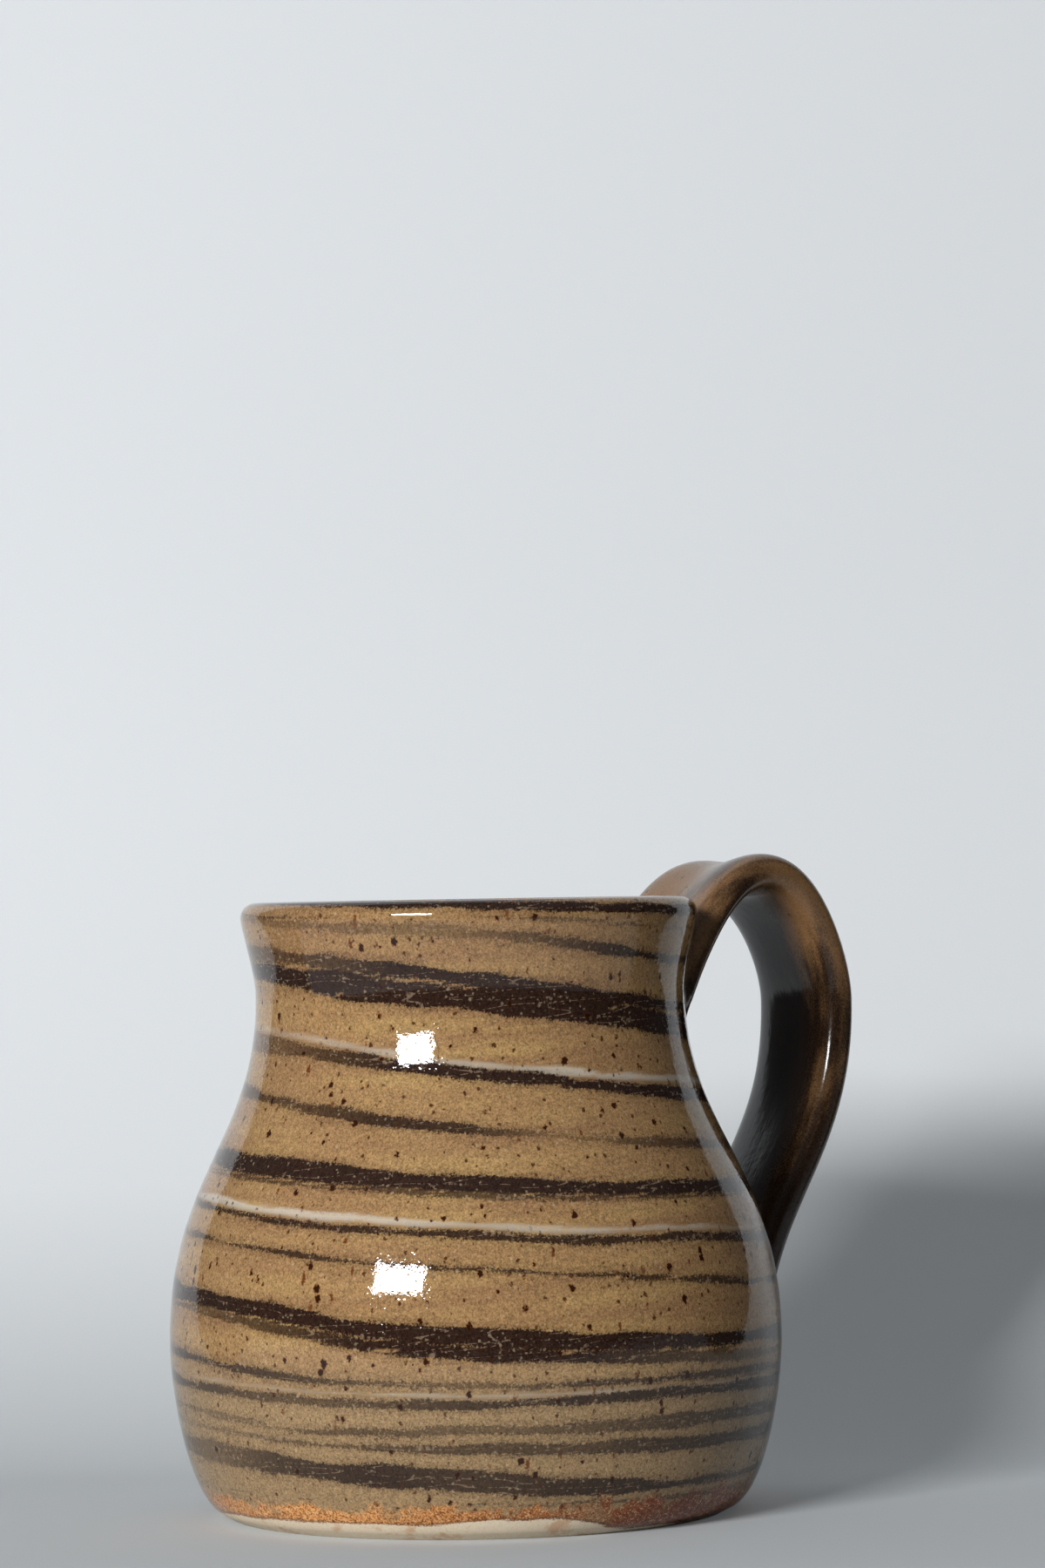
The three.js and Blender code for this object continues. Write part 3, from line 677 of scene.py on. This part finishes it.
    bare_clay = add(m, "ShaderNodeMix", {0: scorch, 6: bare_clay, 7: BARE_SCORCHED}, 2, data_type="RGBA")
    clay = add(m, "ShaderNodeMix", {0: bare, 6: clay, 7: bare_clay}, 2, data_type="RGBA")
    roughness = add(m, "ShaderNodeMapRange", {0: bare, 3: GLAZE_ROUGHNESS, 4: BARE_ROUGHNESS})

    # Relief: orange peel, a finer ripple over the sand, grit that stands up in the glaze, more of it on the
    # dark clay, and the sandy bare foot
    peel = add(m, "ShaderNodeTexNoise", {"Vector": mm, "Scale": 1 / PEEL_SIZE, "Detail": 1})
    ripple = add(m, "ShaderNodeTexNoise", {"Vector": mm, "Scale": 1 / RIPPLE_SIZE, "Detail": 1})
    grit = add(m, "ShaderNodeTexVoronoi", {"Vector": mm, "Scale": 1 / GRIT_SPACING}, "Distance")
    grit_height = add(m, "ShaderNodeMapRange", {0: dark_share, 3: GRIT_ON_TAN, 4: GRIT_ON_DARK})
    dome = add(m, "ShaderNodeMapRange", {0: grit, 1: GRIT_RADIUS / GRIT_SPACING, 2: 0.02},
               interpolation_type="SMOOTHSTEP")
    relief = add(m, "ShaderNodeMath", {0: dome, 1: grit_height}, operation="MULTIPLY")
    relief = add(m, "ShaderNodeMath", {0: peel, 1: PEEL_HEIGHT, 2: relief}, operation="MULTIPLY_ADD")
    relief = add(m, "ShaderNodeMath", {0: ripple, 1: RIPPLE_HEIGHT, 2: relief}, operation="MULTIPLY_ADD")
    sand_height = add(m, "ShaderNodeMath", {0: bare, 1: BARE_SAND_HEIGHT}, operation="MULTIPLY")
    relief = add(m, "ShaderNodeMath", {0: grain, 1: sand_height, 2: relief}, operation="MULTIPLY_ADD")
    bump = add(m, "ShaderNodeBump", {"Height": relief, "Strength": 1, "Distance": MM}, "Normal")
    shader = add(m, "ShaderNodeBsdfPrincipled",
                 {"Base Color": clay, "Roughness": roughness, "IOR": GLAZE_IOR, "Normal": bump})
    add(m, "ShaderNodeOutputMaterial", {"Surface": shader}, None)
    return m


body = bpy.data.objects.new("body_look", body_mesh)
bpy.context.scene.collection.objects.link(body)
body_mesh.materials.append(agateware())
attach(body, "root")
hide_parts("thrown_body")

# Pulled handle
# A strap of the same clays, pulled wet from a lump by hand, so that it is wider at its root, has a shallow
# channel where the thumb ran, and its clays run lengthwise. It was bent into a loop while soft and stuck to
# the neck and the belly.
STRAP_WIDTH = 20.4
STRAP_ROOT_WIDTH = 34.5
STRAP_THICKNESS = 7.3
STRAP_SQUARENESS = 3.2
STRAP_CHANNEL = 1.4
ROOT_TAPER = 62
ROOT_TAPER_POWER = 2
ROOT_TWIST_DEG = 12.5
ROOT_BELOW_RIM = 17
ROOT_RISE_DEG = 65.3
ROOT_ARM = 43.9
FINGER_GAP = 32.5
LOOP_BELOW_RIM = 18.4
LOOP_ARM_UP = 12.1
LOOP_ARM_DOWN = 21.8
TAIL_HEIGHT = 35.3
TAIL_RISE_DEG = 72
TAIL_ARM = 19.5
ROOT_TUCK_DEG = 5
TAIL_TUCK_DEG = 15
TUCK_ARM = 7
TUCK_DEPTH = 5
STRAP_ROWS = 320
STRAP_COLUMNS = 96
END_INSIDE_WALL = 2
HALVINGS = 30
FINE_STEPS = 2880
SWAY_LENGTH = 11
SWAY_START = 1
SWAY = 0.12
DENT_LENGTH = 4.7
DENT = 0.06
FREE_FROM_END = 4
FREE_OVER = 8


def outer_radius(heights):
    """The pot's outer radius at heights, read off its outline."""
    return np.interp(heights, outside[:, 1], outside[:, 0])


def heading(degrees, length):
    """A step of a length in the loop's plane, rising by an angle: (cosine, sine) times the length."""
    return np.array([math.cos(math.radians(degrees)), math.sin(math.radians(degrees))]) * length


root_height = HEIGHT - ROOT_BELOW_RIM
root = np.array([outer_radius(root_height), root_height])
root_bend = root - heading(ROOT_RISE_DEG, TUCK_ARM)
root_tuck = root_bend - heading(ROOT_TUCK_DEG, TUCK_ARM)
root_end = root_tuck - heading(ROOT_TUCK_DEG, TUCK_DEPTH)
loop = np.array([NECK[0] + FINGER_GAP + STRAP_THICKNESS / 2, HEIGHT - LOOP_BELOW_RIM])
tail = np.array([outer_radius(TAIL_HEIGHT) + STRAP_THICKNESS / 2, TAIL_HEIGHT])
tail_bend = tail - heading(TAIL_RISE_DEG, TUCK_ARM)
tail_tuck = tail_bend - heading(TAIL_TUCK_DEG, TUCK_ARM)
tail_end = tail_tuck - heading(TAIL_TUCK_DEG, TUCK_DEPTH)


def through(points):
    """A quadratic curve by its three control points, as the cubic one that has the same shape."""
    a, b, c = (np.array(p) for p in points)
    return bezier([a, a + (b - a) * 2 / 3, c + (b - c) * 2 / 3, c])


centreline = np.concatenate([
    [root_end],
    through([root_tuck, root_bend, root]),
    bezier([root, root + heading(ROOT_RISE_DEG, ROOT_ARM), loop + [0, LOOP_ARM_UP], loop])[1:],
    bezier([loop, loop - [0, LOOP_ARM_DOWN], tail + heading(TAIL_RISE_DEG, TAIL_ARM), tail])[1:],
    through([tail, tail_bend, tail_tuck])[1:],
    [tail_end],
])
run_length = np.concatenate([[0], np.cumsum(np.linalg.norm(np.diff(centreline, axis=0), axis=1))])
root_at = run_length[np.argmin(np.linalg.norm(centreline - root, axis=1))]
tail_at = run_length[np.argmin(np.linalg.norm(centreline - tail, axis=1))]
loop_at = run_length[np.argmin(np.linalg.norm(centreline - loop, axis=1))]
slope = np.gradient(centreline, run_length, axis=0)
slope /= np.linalg.norm(slope, axis=1, keepdims=True)


def squared(value):
    """A cosine or sine made squarer: its size to the power of 2 over the squareness, with its own sign."""
    return np.sign(value) * np.abs(value) ** (2 / STRAP_SQUARENESS)


def strap_point(at, section_angle, extra):
    """A place on the strap: at a length along its centreline, at an angle round its section, and a distance
    outside it, and its own coordinates across, through and along the strap. The section is a superellipse,
    |x/a|^n + |y/b|^n = 1, less the channel, a raised cosine across the outer face. Width and twist ease from
    the root's values to the strap's own by a power of the distance from the root."""
    x, z = (np.interp(at, run_length, centreline[:, k]) for k in (0, 1))
    along_x, along_z = (np.interp(at, run_length, slope[:, k]) for k in (0, 1))
    zero = np.zeros_like(x)
    outward = np.stack([-along_z, zero, along_x], axis=-1)
    near_root = np.clip(1 - (at - root_at) / ROOT_TAPER, 0, 1) ** ROOT_TAPER_POWER
    width = STRAP_WIDTH + (STRAP_ROOT_WIDTH - STRAP_WIDTH) * near_root
    twist = math.radians(ROOT_TWIST_DEG) * near_root
    side = np.stack([zero, np.ones_like(x), zero], axis=-1)
    across = outward * np.sin(twist)[..., None] - side * np.cos(twist)[..., None]
    through_strap = outward * np.cos(twist)[..., None] + side * np.sin(twist)[..., None]
    sideways = squared(np.cos(section_angle))
    upwards = squared(np.sin(section_angle))
    channel = STRAP_CHANNEL * np.maximum(0, upwards) * np.cos(sideways * np.pi / 2) ** 2
    rise = upwards * (STRAP_THICKNESS / 2 + extra) - channel
    centre = np.stack([x, zero, z], axis=-1)
    points = centre + across * (sideways * (width / 2 + extra))[..., None] + through_strap * rise[..., None]
    own = np.stack([sideways * width / 2, upwards * STRAP_THICKNESS / 2, np.asarray(at) + zero], axis=-1)
    return points, own


def beyond_wall(points):
    """How far points lie outside the pot's wall, measured level."""
    return np.hypot(points[..., 0], points[..., 1]) - outer_radius(points[..., 2])


def meet_wall(section_angle, extra, distance, wall_at, free_at):
    """The length along the strap at which its surface is a distance from the wall, found by halving."""
    low = np.full(np.broadcast(section_angle, extra, distance).shape, float(wall_at))
    high = np.full_like(low, float(free_at))
    for _ in range(HALVINGS):
        middle = (low + high) / 2
        nearer = beyond_wall(strap_point(middle, section_angle, extra)[0]) < distance
        low = np.where(nearer, middle, low)
        high = np.where(nearer, high, middle)
    return (low + high) / 2


# Section angles set so that the points lie evenly round the section
fine_angle = np.linspace(0, 2 * np.pi, FINE_STEPS + 1)
fine_section = np.stack([
    squared(np.cos(fine_angle)) * STRAP_WIDTH / 2,
    squared(np.sin(fine_angle)) * STRAP_THICKNESS / 2,
], axis=1)
round_length = np.concatenate([[0], np.cumsum(np.linalg.norm(np.diff(fine_section, axis=0), axis=1))])
section = np.interp(np.arange(STRAP_COLUMNS) / STRAP_COLUMNS * round_length[-1], round_length, fine_angle)

from_at = meet_wall(section, 0, -END_INSIDE_WALL, 0, loop_at)
to_at = meet_wall(section, 0, -END_INSIDE_WALL, run_length[-1], loop_at)
share = np.linspace(0, 1, STRAP_ROWS)[:, None]
strap_at = from_at * (1 - share) + to_at * share
strap_rings, strap_own = strap_point(strap_at, section + 0 * share, 0.0)

# The hand left the strap a little uneven between its ends: a slow sway and shallow dents, both sine waves
sway = np.sin(strap_at / SWAY_LENGTH + SWAY_START) * SWAY
dents = np.sin(strap_at / DENT_LENGTH + section) * DENT
past_root = np.clip((strap_at - root_at - FREE_FROM_END) / FREE_OVER, 0, 1)
before_tail = np.clip((tail_at - strap_at - FREE_FROM_END) / FREE_OVER, 0, 1)
strap_rings[..., 1] += (sway + dents) * (past_root * before_tail)
strap_ends = [strap_rings[0].mean(0), strap_rings[-1].mean(0)]
handle_mesh = turned_mesh("pulled_handle_look", strap_rings[:, ::-1], strap_ends)
carry(handle_mesh, "strap_place", strap_own[:, ::-1], [strap_own[0].mean(0), strap_own[-1].mean(0)])

# The same clays as the pot's, under the same clear glaze, which lies thinner and is less glossy here. Most
# of it is dark clay, and the tan runs lengthwise in bands and fibres. Sizes and heights are in mm.
BAND_LENGTH = 26
BAND_WIDTH = 6.5
BAND_START = (2, 7, 6.1)
FIBRE_LENGTH = 7
FIBRE_WIDTH = 0.9
FIBRE_HEIGHT = 0.02
HANDLE_PEEL_SIZE = 1 / 0.6
HANDLE_PEEL_HEIGHT = 0.03
HANDLE_ROUGHNESS = 0.16
# Painted light and shade along the strap: darker past the loop, where the pot shades its lower end, and a
# little tanner before the loop, where the root is lit
SHADED_PAST_LOOP = 22
LIT_BEFORE_LOOP = 12
PAINTED_SHADE_BY = 0.2
PAINTED_LIGHT_BY = 0.05
FIBRE_SHARE = 0.14
SAND_SHARE = 0.12
# Painted shade on the strap's inner side: it starts at the first depth under the middle of the strap,
# slanted across it, and is full at the second
INNER_SHADE_SLANT = 0.35
INNER_SHADE_FROM = 0.3
INNER_SHADE_TO = 3.2
INNER_SHADE_SHARE = 0.95
STRAP_SPECK_EDGE = 0.1
STRAP_SPECK_SHARE = 0.8
STRAP_DARK = "#2c1e15"
STRAP_DARK_SAND = "#423023"
STRAP_TAN = "#825f40"
STRAP_TAN_SAND = "#98734d"
# The nearly black colour of the painted shade on the strap's inner side
PAINTED_INNER_SHADE = "#150d08"
STRAP_SPECK = "#2a1a0e"


def pulled_clay():
    """The handle's material. Its bands and fibres follow the strap's own coordinates, across, through and
    along it, and BAND_START says where in the noise the bands begin. Painted shade darkens the clay towards
    the strap's lower end, which the pot shades, and painted light makes it a little tanner towards the root.
    Painted shade also makes its inner side nearly black, starting a little under the middle of the strap, a
    little askew, and full further in."""
    m = new_material("clear_glazed_pulled_clay")
    own = add(m, "ShaderNodeAttribute", {}, "Vector", attribute_name="strap_place")
    mm = in_millimetres(m)
    band_cells = (1 / BAND_WIDTH, 1 / BAND_WIDTH, 1 / BAND_LENGTH)
    pulled = add(m, "ShaderNodeVectorMath", {0: own, 1: band_cells, 2: BAND_START},
                 operation="MULTIPLY_ADD")
    bands = add(m, "ShaderNodeTexNoise", {"Vector": pulled, "Scale": 1, "Detail": 3, "Roughness": 0.55})
    fibre_cells = (1 / FIBRE_WIDTH, 1 / FIBRE_WIDTH, 1 / FIBRE_LENGTH)
    drawn = add(m, "ShaderNodeVectorMath", {0: own, 1: fibre_cells}, operation="MULTIPLY")
    fibres = add(m, "ShaderNodeTexNoise", {"Vector": drawn, "Scale": 1, "Detail": 3, "Roughness": 0.6})
    grain = add(m, "ShaderNodeTexNoise",
                {"Vector": mm, "Scale": 1 / SAND_GRAIN, "Detail": 1, "Roughness": 0.6})
    across, outwards, along = (add(m, "ShaderNodeSeparateXYZ", {0: own}, k) for k in range(3))
    # Painted shade past the loop and painted light towards the root, added to the bands
    shaded_from = float(loop_at) + SHADED_PAST_LOOP
    lit_from = float(loop_at) - LIT_BEFORE_LOOP
    painted_light_and_shade = add(m, "ShaderNodeMapRange",
                       {0: along, 1: shaded_from, 2: lit_from, 3: -PAINTED_SHADE_BY, 4: PAINTED_LIGHT_BY})
    clays = add(m, "ShaderNodeMath", {0: bands, 1: painted_light_and_shade}, operation="ADD")
    clays = add(m, "ShaderNodeMath", {0: fibres, 1: FIBRE_SHARE, 2: clays}, operation="MULTIPLY_ADD")
    clays = add(m, "ShaderNodeMath", {0: grain, 1: SAND_SHARE, 2: clays}, operation="MULTIPLY_ADD")
    tan_share = add(m, "ShaderNodeMapRange", {0: clays, 1: 0.48, 2: 0.74}, interpolation_type="SMOOTHSTEP")
    grain_share = add(m, "ShaderNodeMapRange", {0: grain, 1: 0.3, 2: 0.7})
    dark = add(m, "ShaderNodeMix", {0: grain_share, 6: STRAP_DARK, 7: STRAP_DARK_SAND}, 2, data_type="RGBA")
    tan = add(m, "ShaderNodeMix", {0: grain_share, 6: STRAP_TAN, 7: STRAP_TAN_SAND}, 2, data_type="RGBA")
    clay = add(m, "ShaderNodeMix", {0: tan_share, 6: dark, 7: tan}, 2, data_type="RGBA")
    # Painted shade: the strap's inner side, which faces the pot, is mixed towards nearly black
    shade_depth = add(m, "ShaderNodeMath", {0: across, 1: INNER_SHADE_SLANT, 2: outwards}, operation="MULTIPLY_ADD")
    inner_shade_share = add(m, "ShaderNodeMapRange", {0: shade_depth, 1: -INNER_SHADE_FROM, 2: -INNER_SHADE_TO, 3: 0, 4: INNER_SHADE_SHARE})
    clay = add(m, "ShaderNodeMix", {0: inner_shade_share, 6: clay, 7: PAINTED_INNER_SHADE}, 2, data_type="RGBA")
    iron = specks(m, mm, melted_edge(m, mm), spacing=2.5, run=1.35, radius=0.46)
    iron_share = add(m, "ShaderNodeMapRange",
                     {0: iron, 1: STRAP_SPECK_EDGE, 2: -STRAP_SPECK_EDGE, 3: 0, 4: STRAP_SPECK_SHARE})
    clay = add(m, "ShaderNodeMix", {0: iron_share, 6: clay, 7: STRAP_SPECK}, 2, data_type="RGBA")
    peel = add(m, "ShaderNodeTexNoise", {"Vector": mm, "Scale": 1 / HANDLE_PEEL_SIZE, "Detail": 2})
    relief = add(m, "ShaderNodeMath", {0: peel, 1: HANDLE_PEEL_HEIGHT}, operation="MULTIPLY")
    relief = add(m, "ShaderNodeMath", {0: fibres, 1: FIBRE_HEIGHT, 2: relief}, operation="MULTIPLY_ADD")
    bump = add(m, "ShaderNodeBump", {"Height": relief, "Strength": 1, "Distance": MM}, "Normal")
    shader = add(m, "ShaderNodeBsdfPrincipled",
                 {"Base Color": clay, "Roughness": HANDLE_ROUGHNESS, "IOR": GLAZE_IOR, "Normal": bump})
    add(m, "ShaderNodeOutputMaterial", {"Surface": shader}, None)
    return m


handle_clay = pulled_clay()
handle = bpy.data.objects.new("handle_look", handle_mesh)
bpy.context.scene.collection.objects.link(handle)
handle_mesh.materials.append(handle_clay)
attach(handle, "root")
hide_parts("pulled_handle")

# Handle joins
# At each end of the strap soft clay and slip were pressed into the corner and smoothed with a finger, so the
# strap grows out of the pot in a hollow curve. The glaze runs over strap, joint and pot without a break.
JOIN_FILLET = 2.6
FILLET_ROWS = 14
FILLET_SINK = 0.25
SINK_EASE = 6
HIDDEN_DEPTH = 1.2
HIDDEN_TOP = 0.6


def join_mesh(name, wall_at):
    """A ring of clay round one end of the strap. Its shown side is a quarter round, hollow: at a distance d
    from the wall it stands R - sqrt(R^2 - (R - d)^2) out from the strap, and its edges sink a little into
    wall and strap. Its hidden side lies inside them and closes the ring."""
    quarter = np.linspace(0, np.pi / 2, FILLET_ROWS)
    from_wall = JOIN_FILLET * (1 - np.cos(quarter)) - FILLET_SINK
    from_strap = JOIN_FILLET * (1 - np.sin(quarter)) - FILLET_SINK * quarter / SINK_EASE
    distance = np.concatenate([[-HIDDEN_DEPTH], from_wall, [JOIN_FILLET * HIDDEN_TOP], [-HIDDEN_DEPTH]])
    extra = np.concatenate([[JOIN_FILLET], from_strap, [-HIDDEN_DEPTH], [-HIDDEN_DEPTH]])[:, None]
    angles = section + 0 * extra
    at = meet_wall(angles, extra, distance[:, None], wall_at, loop_at)
    points, own = strap_point(at, angles, extra)
    count, columns = points.shape[:2]
    here = np.arange(count)[:, None] * columns
    above = (np.arange(count)[:, None] + 1) % count * columns
    around = np.arange(columns)
    following = (around + 1) % columns
    quads = np.stack([here + around, above + around, above + following, here + following], axis=-1)
    if wall_at > loop_at:
        quads = quads[..., ::-1]
    mesh = bpy.data.meshes.new(name)
    mesh.from_pydata((points.reshape(-1, 3) * MM).tolist(), [], quads.reshape(-1, 4).tolist())
    mesh.shade_smooth()
    carry(mesh, "strap_place", own, np.zeros((0, 3)))
    return mesh


for end, wall_at in (("upper", 0), ("lower", run_length[-1])):
    join = bpy.data.objects.new(f"{end}_join_look", join_mesh(f"{end}_join_look", wall_at))
    bpy.context.scene.collection.objects.link(join)
    join.data.materials.append(handle_clay)
    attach(join, "root")
    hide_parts(f"{end}_handle_join")

# Floor and backdrop
# A pale matt sheet lies under the mug and curves up close behind it. Seen from behind it is clear, so that
# the mug shows from all sides. In the glaze its upright part shows only between SHEET_LEFT and SHEET_RIGHT,
# with the dim room past them. Its smooth shading starts to tilt at SHADING_FROM.
FLAT_BEHIND = 58
SWEEP_RADIUS = 165
SWEEP_STEPS = 40
WALL_HEIGHT = 700
SHEET_HALF_WIDTH = 2500
SHEET_FRONT = -420
SHADING_FROM = -200
SHEET_LEFT = -270
SHEET_RIGHT = 306
UPRIGHT_FROM = 20
PAINTED_SHADE_UP_TO = 45
PAPER = "#c0c5c9"
PAPER_SEEN = "#eef2f5"
# The grey of the painted shade on the sheet's flat part
PAPER_SEEN_IN_PAINTED_SHADE = "#d3d8db"
PAPER_GLOW = 0.06
DIM_ROOM = "#464748"


def sheet_mesh():
    """The sheet's section, flat, then a quarter circle, then straight up, drawn out to both sides."""
    quarter = np.linspace(0, np.pi / 2, SWEEP_STEPS)[1:]
    flat = [SHEET_FRONT, SHADING_FROM, FLAT_BEHIND]
    y = np.concatenate([flat, FLAT_BEHIND + SWEEP_RADIUS * np.sin(quarter), [FLAT_BEHIND + SWEEP_RADIUS]])
    z = np.concatenate([[0, 0, 0], SWEEP_RADIUS * (1 - np.cos(quarter)), [WALL_HEIGHT]])
    sides = (-SHEET_HALF_WIDTH, SHEET_HALF_WIDTH)
    points = [from_camera_frame(x, b, c).tolist() for b, c in zip(y, z) for x in sides]
    faces = [(2 * n, 2 * n + 1, 2 * n + 3, 2 * n + 2) for n in range(len(y) - 1)]
    mesh = bpy.data.meshes.new("floor_sheet")
    mesh.from_pydata(points, [], faces)
    mesh.shade_smooth()
    return mesh


def paper():
    """Pale matt paper, clear from behind. The camera and mirror rays see it paler than it is, with painted
    shade on its flat part that fades out where it rises, and to the camera it glows faintly. Past the left
    and right limits, mirror rays see the dim room in place of its upright part."""
    m = new_material("pale_matt_paper")
    facing = add(m, "ShaderNodeMapping", {"Vector": in_millimetres(m), "Rotation": (0, 0, turn)})
    x, y, z = (add(m, "ShaderNodeSeparateXYZ", {0: facing}, k) for k in range(3))
    past_left = add(m, "ShaderNodeMath", {0: x, 1: SHEET_LEFT}, operation="LESS_THAN")
    past_right = add(m, "ShaderNodeMath", {0: x, 1: SHEET_RIGHT}, operation="GREATER_THAN")
    past = add(m, "ShaderNodeMath", {0: past_left, 1: past_right}, operation="MAXIMUM")
    upright = add(m, "ShaderNodeMath", {0: y, 1: UPRIGHT_FROM}, operation="GREATER_THAN")
    past = add(m, "ShaderNodeMath", {0: past, 1: upright}, operation="MULTIPLY")
    glossy = add(m, "ShaderNodeLightPath", {}, "Is Glossy Ray")
    watched = add(m, "ShaderNodeLightPath", {}, "Is Camera Ray")
    shown = add(m, "ShaderNodeMath", {0: glossy, 1: watched}, operation="MAXIMUM")
    unseen = add(m, "ShaderNodeMath", {0: past, 1: glossy}, operation="MULTIPLY")
    # Painted shade: to camera and mirror rays the flat part is a darker grey, which fades out as the sheet
    # rises
    out_of_painted_shade = add(m, "ShaderNodeMapRange", {0: z, 1: 0, 2: PAINTED_SHADE_UP_TO})
    tone = add(m, "ShaderNodeMix", {0: out_of_painted_shade, 6: PAPER_SEEN_IN_PAINTED_SHADE, 7: PAPER_SEEN}, 2, data_type="RGBA")
    pale = add(m, "ShaderNodeMix", {0: shown, 6: PAPER, 7: tone}, 2, data_type="RGBA")
    seen = add(m, "ShaderNodeMix", {0: unseen, 6: pale, 7: DIM_ROOM}, 2, data_type="RGBA")
    matt = add(m, "ShaderNodeBsdfDiffuse", {"Color": seen})
    glow_level = add(m, "ShaderNodeMath", {0: watched, 1: PAPER_GLOW}, operation="MULTIPLY")
    glow = add(m, "ShaderNodeEmission", {"Color": PAPER_SEEN, "Strength": glow_level})
    matt = add(m, "ShaderNodeAddShader", {0: matt, 1: glow})
    clear = add(m, "ShaderNodeBsdfTransparent", {})
    behind = add(m, "ShaderNodeNewGeometry", {}, "Backfacing")
    both = add(m, "ShaderNodeMixShader", {0: behind, 1: matt, 2: clear})
    add(m, "ShaderNodeOutputMaterial", {"Surface": both}, None)
    return m


floor = bpy.data.objects.new("floor_sheet", sheet_mesh())
bpy.context.scene.collection.objects.link(floor)
floor.data.materials.append(paper())

# Table behind the sheet
# The same pale surface goes on behind the sheet, a hair lower, for the views from the back. The sheet keeps
# the lamp off it, so the camera sees one plain grey there, and all other rays meet plain matt paper.
TABLE_DROP = 0.5
TABLE_SEEN = "#a9aeb1"
table_mesh = bpy.data.meshes.new("table_behind")
table_corners = [
    (-SHEET_HALF_WIDTH, FLAT_BEHIND),
    (SHEET_HALF_WIDTH, FLAT_BEHIND),
    (SHEET_HALF_WIDTH, SHEET_HALF_WIDTH),
    (-SHEET_HALF_WIDTH, SHEET_HALF_WIDTH),
]
table_points = [from_camera_frame(x, y, -TABLE_DROP).tolist() for x, y in table_corners]
table_mesh.from_pydata(table_points, [], [(0, 1, 2, 3)])
table = bpy.data.objects.new("table_behind", table_mesh)
bpy.context.scene.collection.objects.link(table)
table_paper = new_material("pale_paper_in_shade")
table_watched = add(table_paper, "ShaderNodeLightPath", {}, "Is Camera Ray")
table_shade = add(table_paper, "ShaderNodeBsdfDiffuse", {"Color": PAPER})
table_light = add(table_paper, "ShaderNodeEmission", {"Color": TABLE_SEEN, "Strength": 1})
table_look = add(table_paper, "ShaderNodeMixShader", {0: table_watched, 1: table_shade, 2: table_light})
add(table_paper, "ShaderNodeOutputMaterial", {"Surface": table_look}, None)
table_mesh.materials.append(table_paper)

# Light
# One soft box to the left of the camera, above it and further off, and a dim room that is brighter overhead.
# The camera sees a pale backdrop all round in place of the room.
LAMP_PLACE = (-787, -1417, 576)
LAMP_AIM = (0, 0, 52)
LAMP_WIDTH = 551
LAMP_HEIGHT = 285
LAMP_RADIANCE = 52
ROOM_LEVEL = 0.01
ROOM_ABOVE = 0.12
ROOM_BRIGHTENS_FROM = 0.15
ROOM_BRIGHTENS_TO = 0.9
ROOM_LIGHT = "#fbfcff"
BACKDROP_SEEN = "#d9dee2"

lamp_data = bpy.data.lights.new("soft_box", "AREA")
lamp_data.shape = "RECTANGLE"
lamp_data.size = LAMP_WIDTH * MM
lamp_data.size_y = LAMP_HEIGHT * MM
lamp_data.energy = LAMP_RADIANCE * math.pi * lamp_data.size * lamp_data.size_y
lamp = bpy.data.objects.new("soft_box", lamp_data)
backward = from_camera_frame(*LAMP_PLACE) - from_camera_frame(*LAMP_AIM)
backward /= np.linalg.norm(backward)
sideways = np.cross(upward, backward)
sideways /= np.linalg.norm(sideways)
stand = np.eye(4)
stand[:3, :3] = np.stack([sideways, np.cross(backward, sideways), backward], axis=1)
stand[:3, 3] = from_camera_frame(*LAMP_PLACE)
lamp.matrix_world = Matrix(stand.tolist())
lamp.visible_camera = False
bpy.context.scene.collection.objects.link(lamp)

world = bpy.data.worlds.new("studio")
bpy.context.scene.world = world
world.use_nodes = True
world.node_tree.nodes.clear()
direction = add(world, "ShaderNodeTexCoord", {}, "Generated")
rise_up = add(world, "ShaderNodeSeparateXYZ", {0: direction}, 2)
level = add(world, "ShaderNodeMapRange",
            {0: rise_up, 1: ROOM_BRIGHTENS_FROM, 2: ROOM_BRIGHTENS_TO, 3: ROOM_LEVEL, 4: ROOM_ABOVE})
room = add(world, "ShaderNodeBackground", {"Color": ROOM_LIGHT, "Strength": level})
backdrop = add(world, "ShaderNodeBackground", {"Color": BACKDROP_SEEN, "Strength": 1})
seen_directly = add(world, "ShaderNodeLightPath", {}, "Is Camera Ray")
sky = add(world, "ShaderNodeMixShader", {0: seen_directly, 1: room, 2: backdrop})
add(world, "ShaderNodeOutputWorld", {"Surface": sky}, None)

bpy.context.scene.view_settings.view_transform = "Standard"
